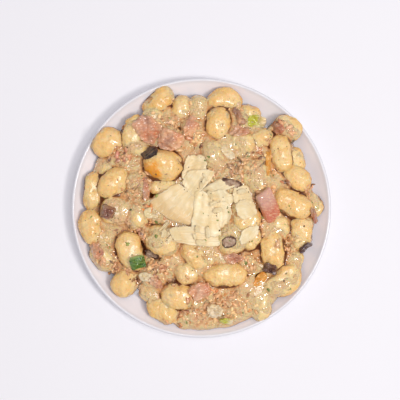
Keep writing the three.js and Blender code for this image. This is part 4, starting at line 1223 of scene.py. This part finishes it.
draw = np.random.default_rng(105)
x, y, row = clustered(draw, CLUSTERS, AREA_EACH)
is_dark = draw.uniform(0, 1, len(row)) < SHADED
shade = np.where(is_dark, draw.uniform(0.45, 0.7, len(row)), draw.normal(1.0, 0.07, len(row)))
bit_tints = CLUSTERS[row, 4:] * shade[:, None] + draw.normal(0, 3, (len(row), 3))
size = crumb_sizes(draw, len(x), 3.4, 0.35, flat=0.42, slim=0.5, largest=8)
bits = morsels("ham_bits", x, y, size, bit_tints, 103, sink=0.1)
crumb_finish("ham_bit", bits, tone(248, 198, 146), 0.9, 260.0)
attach(bits, "root")

draw = np.random.default_rng(111)
SMALL_FLAKES = 15
# x, y, spread along x and y (mm) of the places where the small flakes lie thickest, and their shares
FLAKE_HEAPS = [(15, 3, 8, 9), (22, -11, 5, 5), (-20, -24, 9, 4), (0, 24, 9, 8), (-2, -24, 11, 4),
               (30, 10, 6, 6)]
FLAKE_SHARES = (0.22, 0.22, 0.12, 0.2, 0.12, 0.12)
# Besides the small ones, two thin wide flakes, lying over the gnocchi beside the pile.
wide_flake = dict(torn=0.06, rows=30, columns=22)
flakes = [shaving(991, [[33, -19], [47, -14], [47, -22], [33, -31]], bows=(1, 1, 1, 1), curl=(0.5, -0.4),
                  crimp=0.4, thick=0.5, perch=0.7, stiff=0.1, **wide_flake),
          shaving(992, [[27, 3], [40, 8], [46, -4], [32, -9]], bows=(1, 2, 2, 0), curl=(-0.5, -0.6),
                  crimp=0.3, thick=0.4, perch=0.6, stiff=0.0, **wide_flake)]
for number in range(SMALL_FLAKES):
    hx, hy, spread_x, spread_y = FLAKE_HEAPS[draw.choice(len(FLAKE_HEAPS), p=FLAKE_SHARES)]
    at = np.array([hx + draw.normal(0, spread_x * 0.8), hy + draw.normal(0, spread_y * 0.8)])
    length = min(7.6 * math.exp(draw.normal(0, 0.35)), 13)
    width, turned = length * draw.uniform(0.3, 0.6), draw.uniform(0, math.pi)
    square = np.array([[-1, -1], [1, -1], [1, 1], [-1, 1]]) * [length / 2, width / 2]
    square = square * draw.uniform(0.75, 1.15, (4, 2))
    c, s = math.cos(turned), math.sin(turned)
    corners = at + square @ np.array([[c, s], [-s, c]])
    bows, lifts, curl = draw.uniform(0, 0.6, 4), draw.uniform(0, 2.4, 4), (0, draw.uniform(-0.2, 0.8))
    flakes.append(shaving(1000 + number, corners, bows, lifts, curl, crimp=0.15, torn=0.03, thick=0.5,
                          perch=0.55, stiff=1.0, rows=14, columns=10))
grated, _ = join_chunks("cheese_flakes", flakes)
grated.data.materials.append(hard_cheese.material)
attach(grated, "root")

draw = np.random.default_rng(121)
LEAF_PLACES = [[-79.3, -31.1], [-77, -33], [88.3, -8.1], [86, -6], [-37.5, -11.8], [-35, -13]]
LEAF_TINTS = [(3, 116, 130, 60), (2, 168, 170, 90), (1, 70, 84, 40)]
x, y = strewn(draw, 300, np.full(map_x.shape, 0.22), LEAF_PLACES)
size = crumb_sizes(draw, len(x), 1.8, 0.4, flat=0.22)
leaves = morsels("herb_flecks", x, y, size, palette(draw, len(x), LEAF_TINTS), 122, sink=-0.1, on=pile)
crumb_finish("herb_fleck", leaves, tone(150, 156, 84), 0.5, 400.0)
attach(leaves, "root")

draw = np.random.default_rng(131)
PEPPER_PLACES = [[-55.5, -8.5], [-62, 50.8], [-37.5, 27.9], [-45.1, 67.7], [19.7, 60.1], [13.8, -75.9],
                 [18.1, -81.6], [15, -18.6], [43.7, 74.5], [86, -15.2], [69.1, -60.9]]
PEPPER_TINTS = [(4, 66, 46, 32), (2, 112, 78, 48), (1, 40, 30, 26)]
LARGE_PEPPER = np.array([1.7, 1.3, 0.8]) * MM
x, y = strewn(draw, 900, np.clip(0.26 + 0.2 * speckle(12, 6 * MM), 0.05, 1), PEPPER_PLACES)
size = crumb_sizes(draw, len(x), 0.85, 0.25, flat=0.5, largest=1.6)
size[-len(PEPPER_PLACES):] = LARGE_PEPPER
pepper = morsels("pepper_flakes", x, y, size, palette(draw, len(x), PEPPER_TINTS), 132, sink=-0.15, on=pile)
crumb_finish("pepper_flake", pepper, tone(120, 88, 56), 0.3, 600.0)
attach(pepper, "root")


# ---------------------------------------------------------------- stage
# A plain pale table top of matt paper, laid flat and much wider than the plate. The plate stands free on it,
# on its foot ring.
TABLE_HALF = 2
floor_mesh = bpy.data.meshes.new("table")
floor_mesh.from_pydata([(TABLE_HALF * i, TABLE_HALF * j, 0) for i, j in ((-1, -1), (1, -1), (1, 1), (-1, 1))],
                       [], [(0, 1, 2, 3)])
table = bpy.data.objects.new("table", floor_mesh)
scene.collection.objects.link(table)
PAPER_SHADE, PAPER_WHITE = (0.885, 0.868, 0.90, 1), (0.895, 0.878, 0.91, 1)
paper = Finish("pale_table", Roughness=0.9, Specular_IOR_Level=0.1)
paper.cover(table, Base_Color=paper.place.noise(3.0, 1.0).mix(PAPER_SHADE, PAPER_WHITE))


# ---------------------------------------------------------------- light and camera
# Pale walls all round, a soft lamp high on the right and a softer one overhead. The camera looks straight
# down from above the middle of the plate.
world = bpy.data.worlds.new("studio")
scene.world = world
world.use_nodes = True
world.node_tree.nodes["Background"].inputs["Color"].default_value = (0.97, 0.96, 1.0, 1)
world.node_tree.nodes["Background"].inputs["Strength"].default_value = 0.46
AIM = (0, 0, 0.02)


def area_light(name, place, size, power, colour):
    data = bpy.data.lights.new(name, "AREA")
    data.shape = "DISK"
    data.size = size
    data.energy = power
    data.color = colour
    light = bpy.data.objects.new(name, data)
    light.location = place
    light.rotation_euler = (Vector(AIM) - Vector(place)).to_track_quat("-Z", "Y").to_euler()
    scene.collection.objects.link(light)


area_light("key_right", (0.84, -0.29, 1.85), 0.46, 15.5, (1.0, 0.985, 0.96))
area_light("overhead", (0.16, 0.08, 1.6), 0.75, 7.1, (0.99, 0.985, 1.0))

CAMERA_DISTANCE, FRAME_WIDTH, SENSOR = 0.9, 0.3384, 36
CAMERA_PLACE = (-0.0011, 0.0068)
camera_data = bpy.data.cameras.new("camera")
camera = bpy.data.objects.new("camera", camera_data)
scene.collection.objects.link(camera)
camera_data.sensor_width = SENSOR
camera_data.lens = SENSOR * CAMERA_DISTANCE / FRAME_WIDTH
camera_data.clip_end = 10
camera.location = (*CAMERA_PLACE, PLATE_TOP + CAMERA_DISTANCE)
scene.camera = camera
scene.view_settings.view_transform = "Standard"
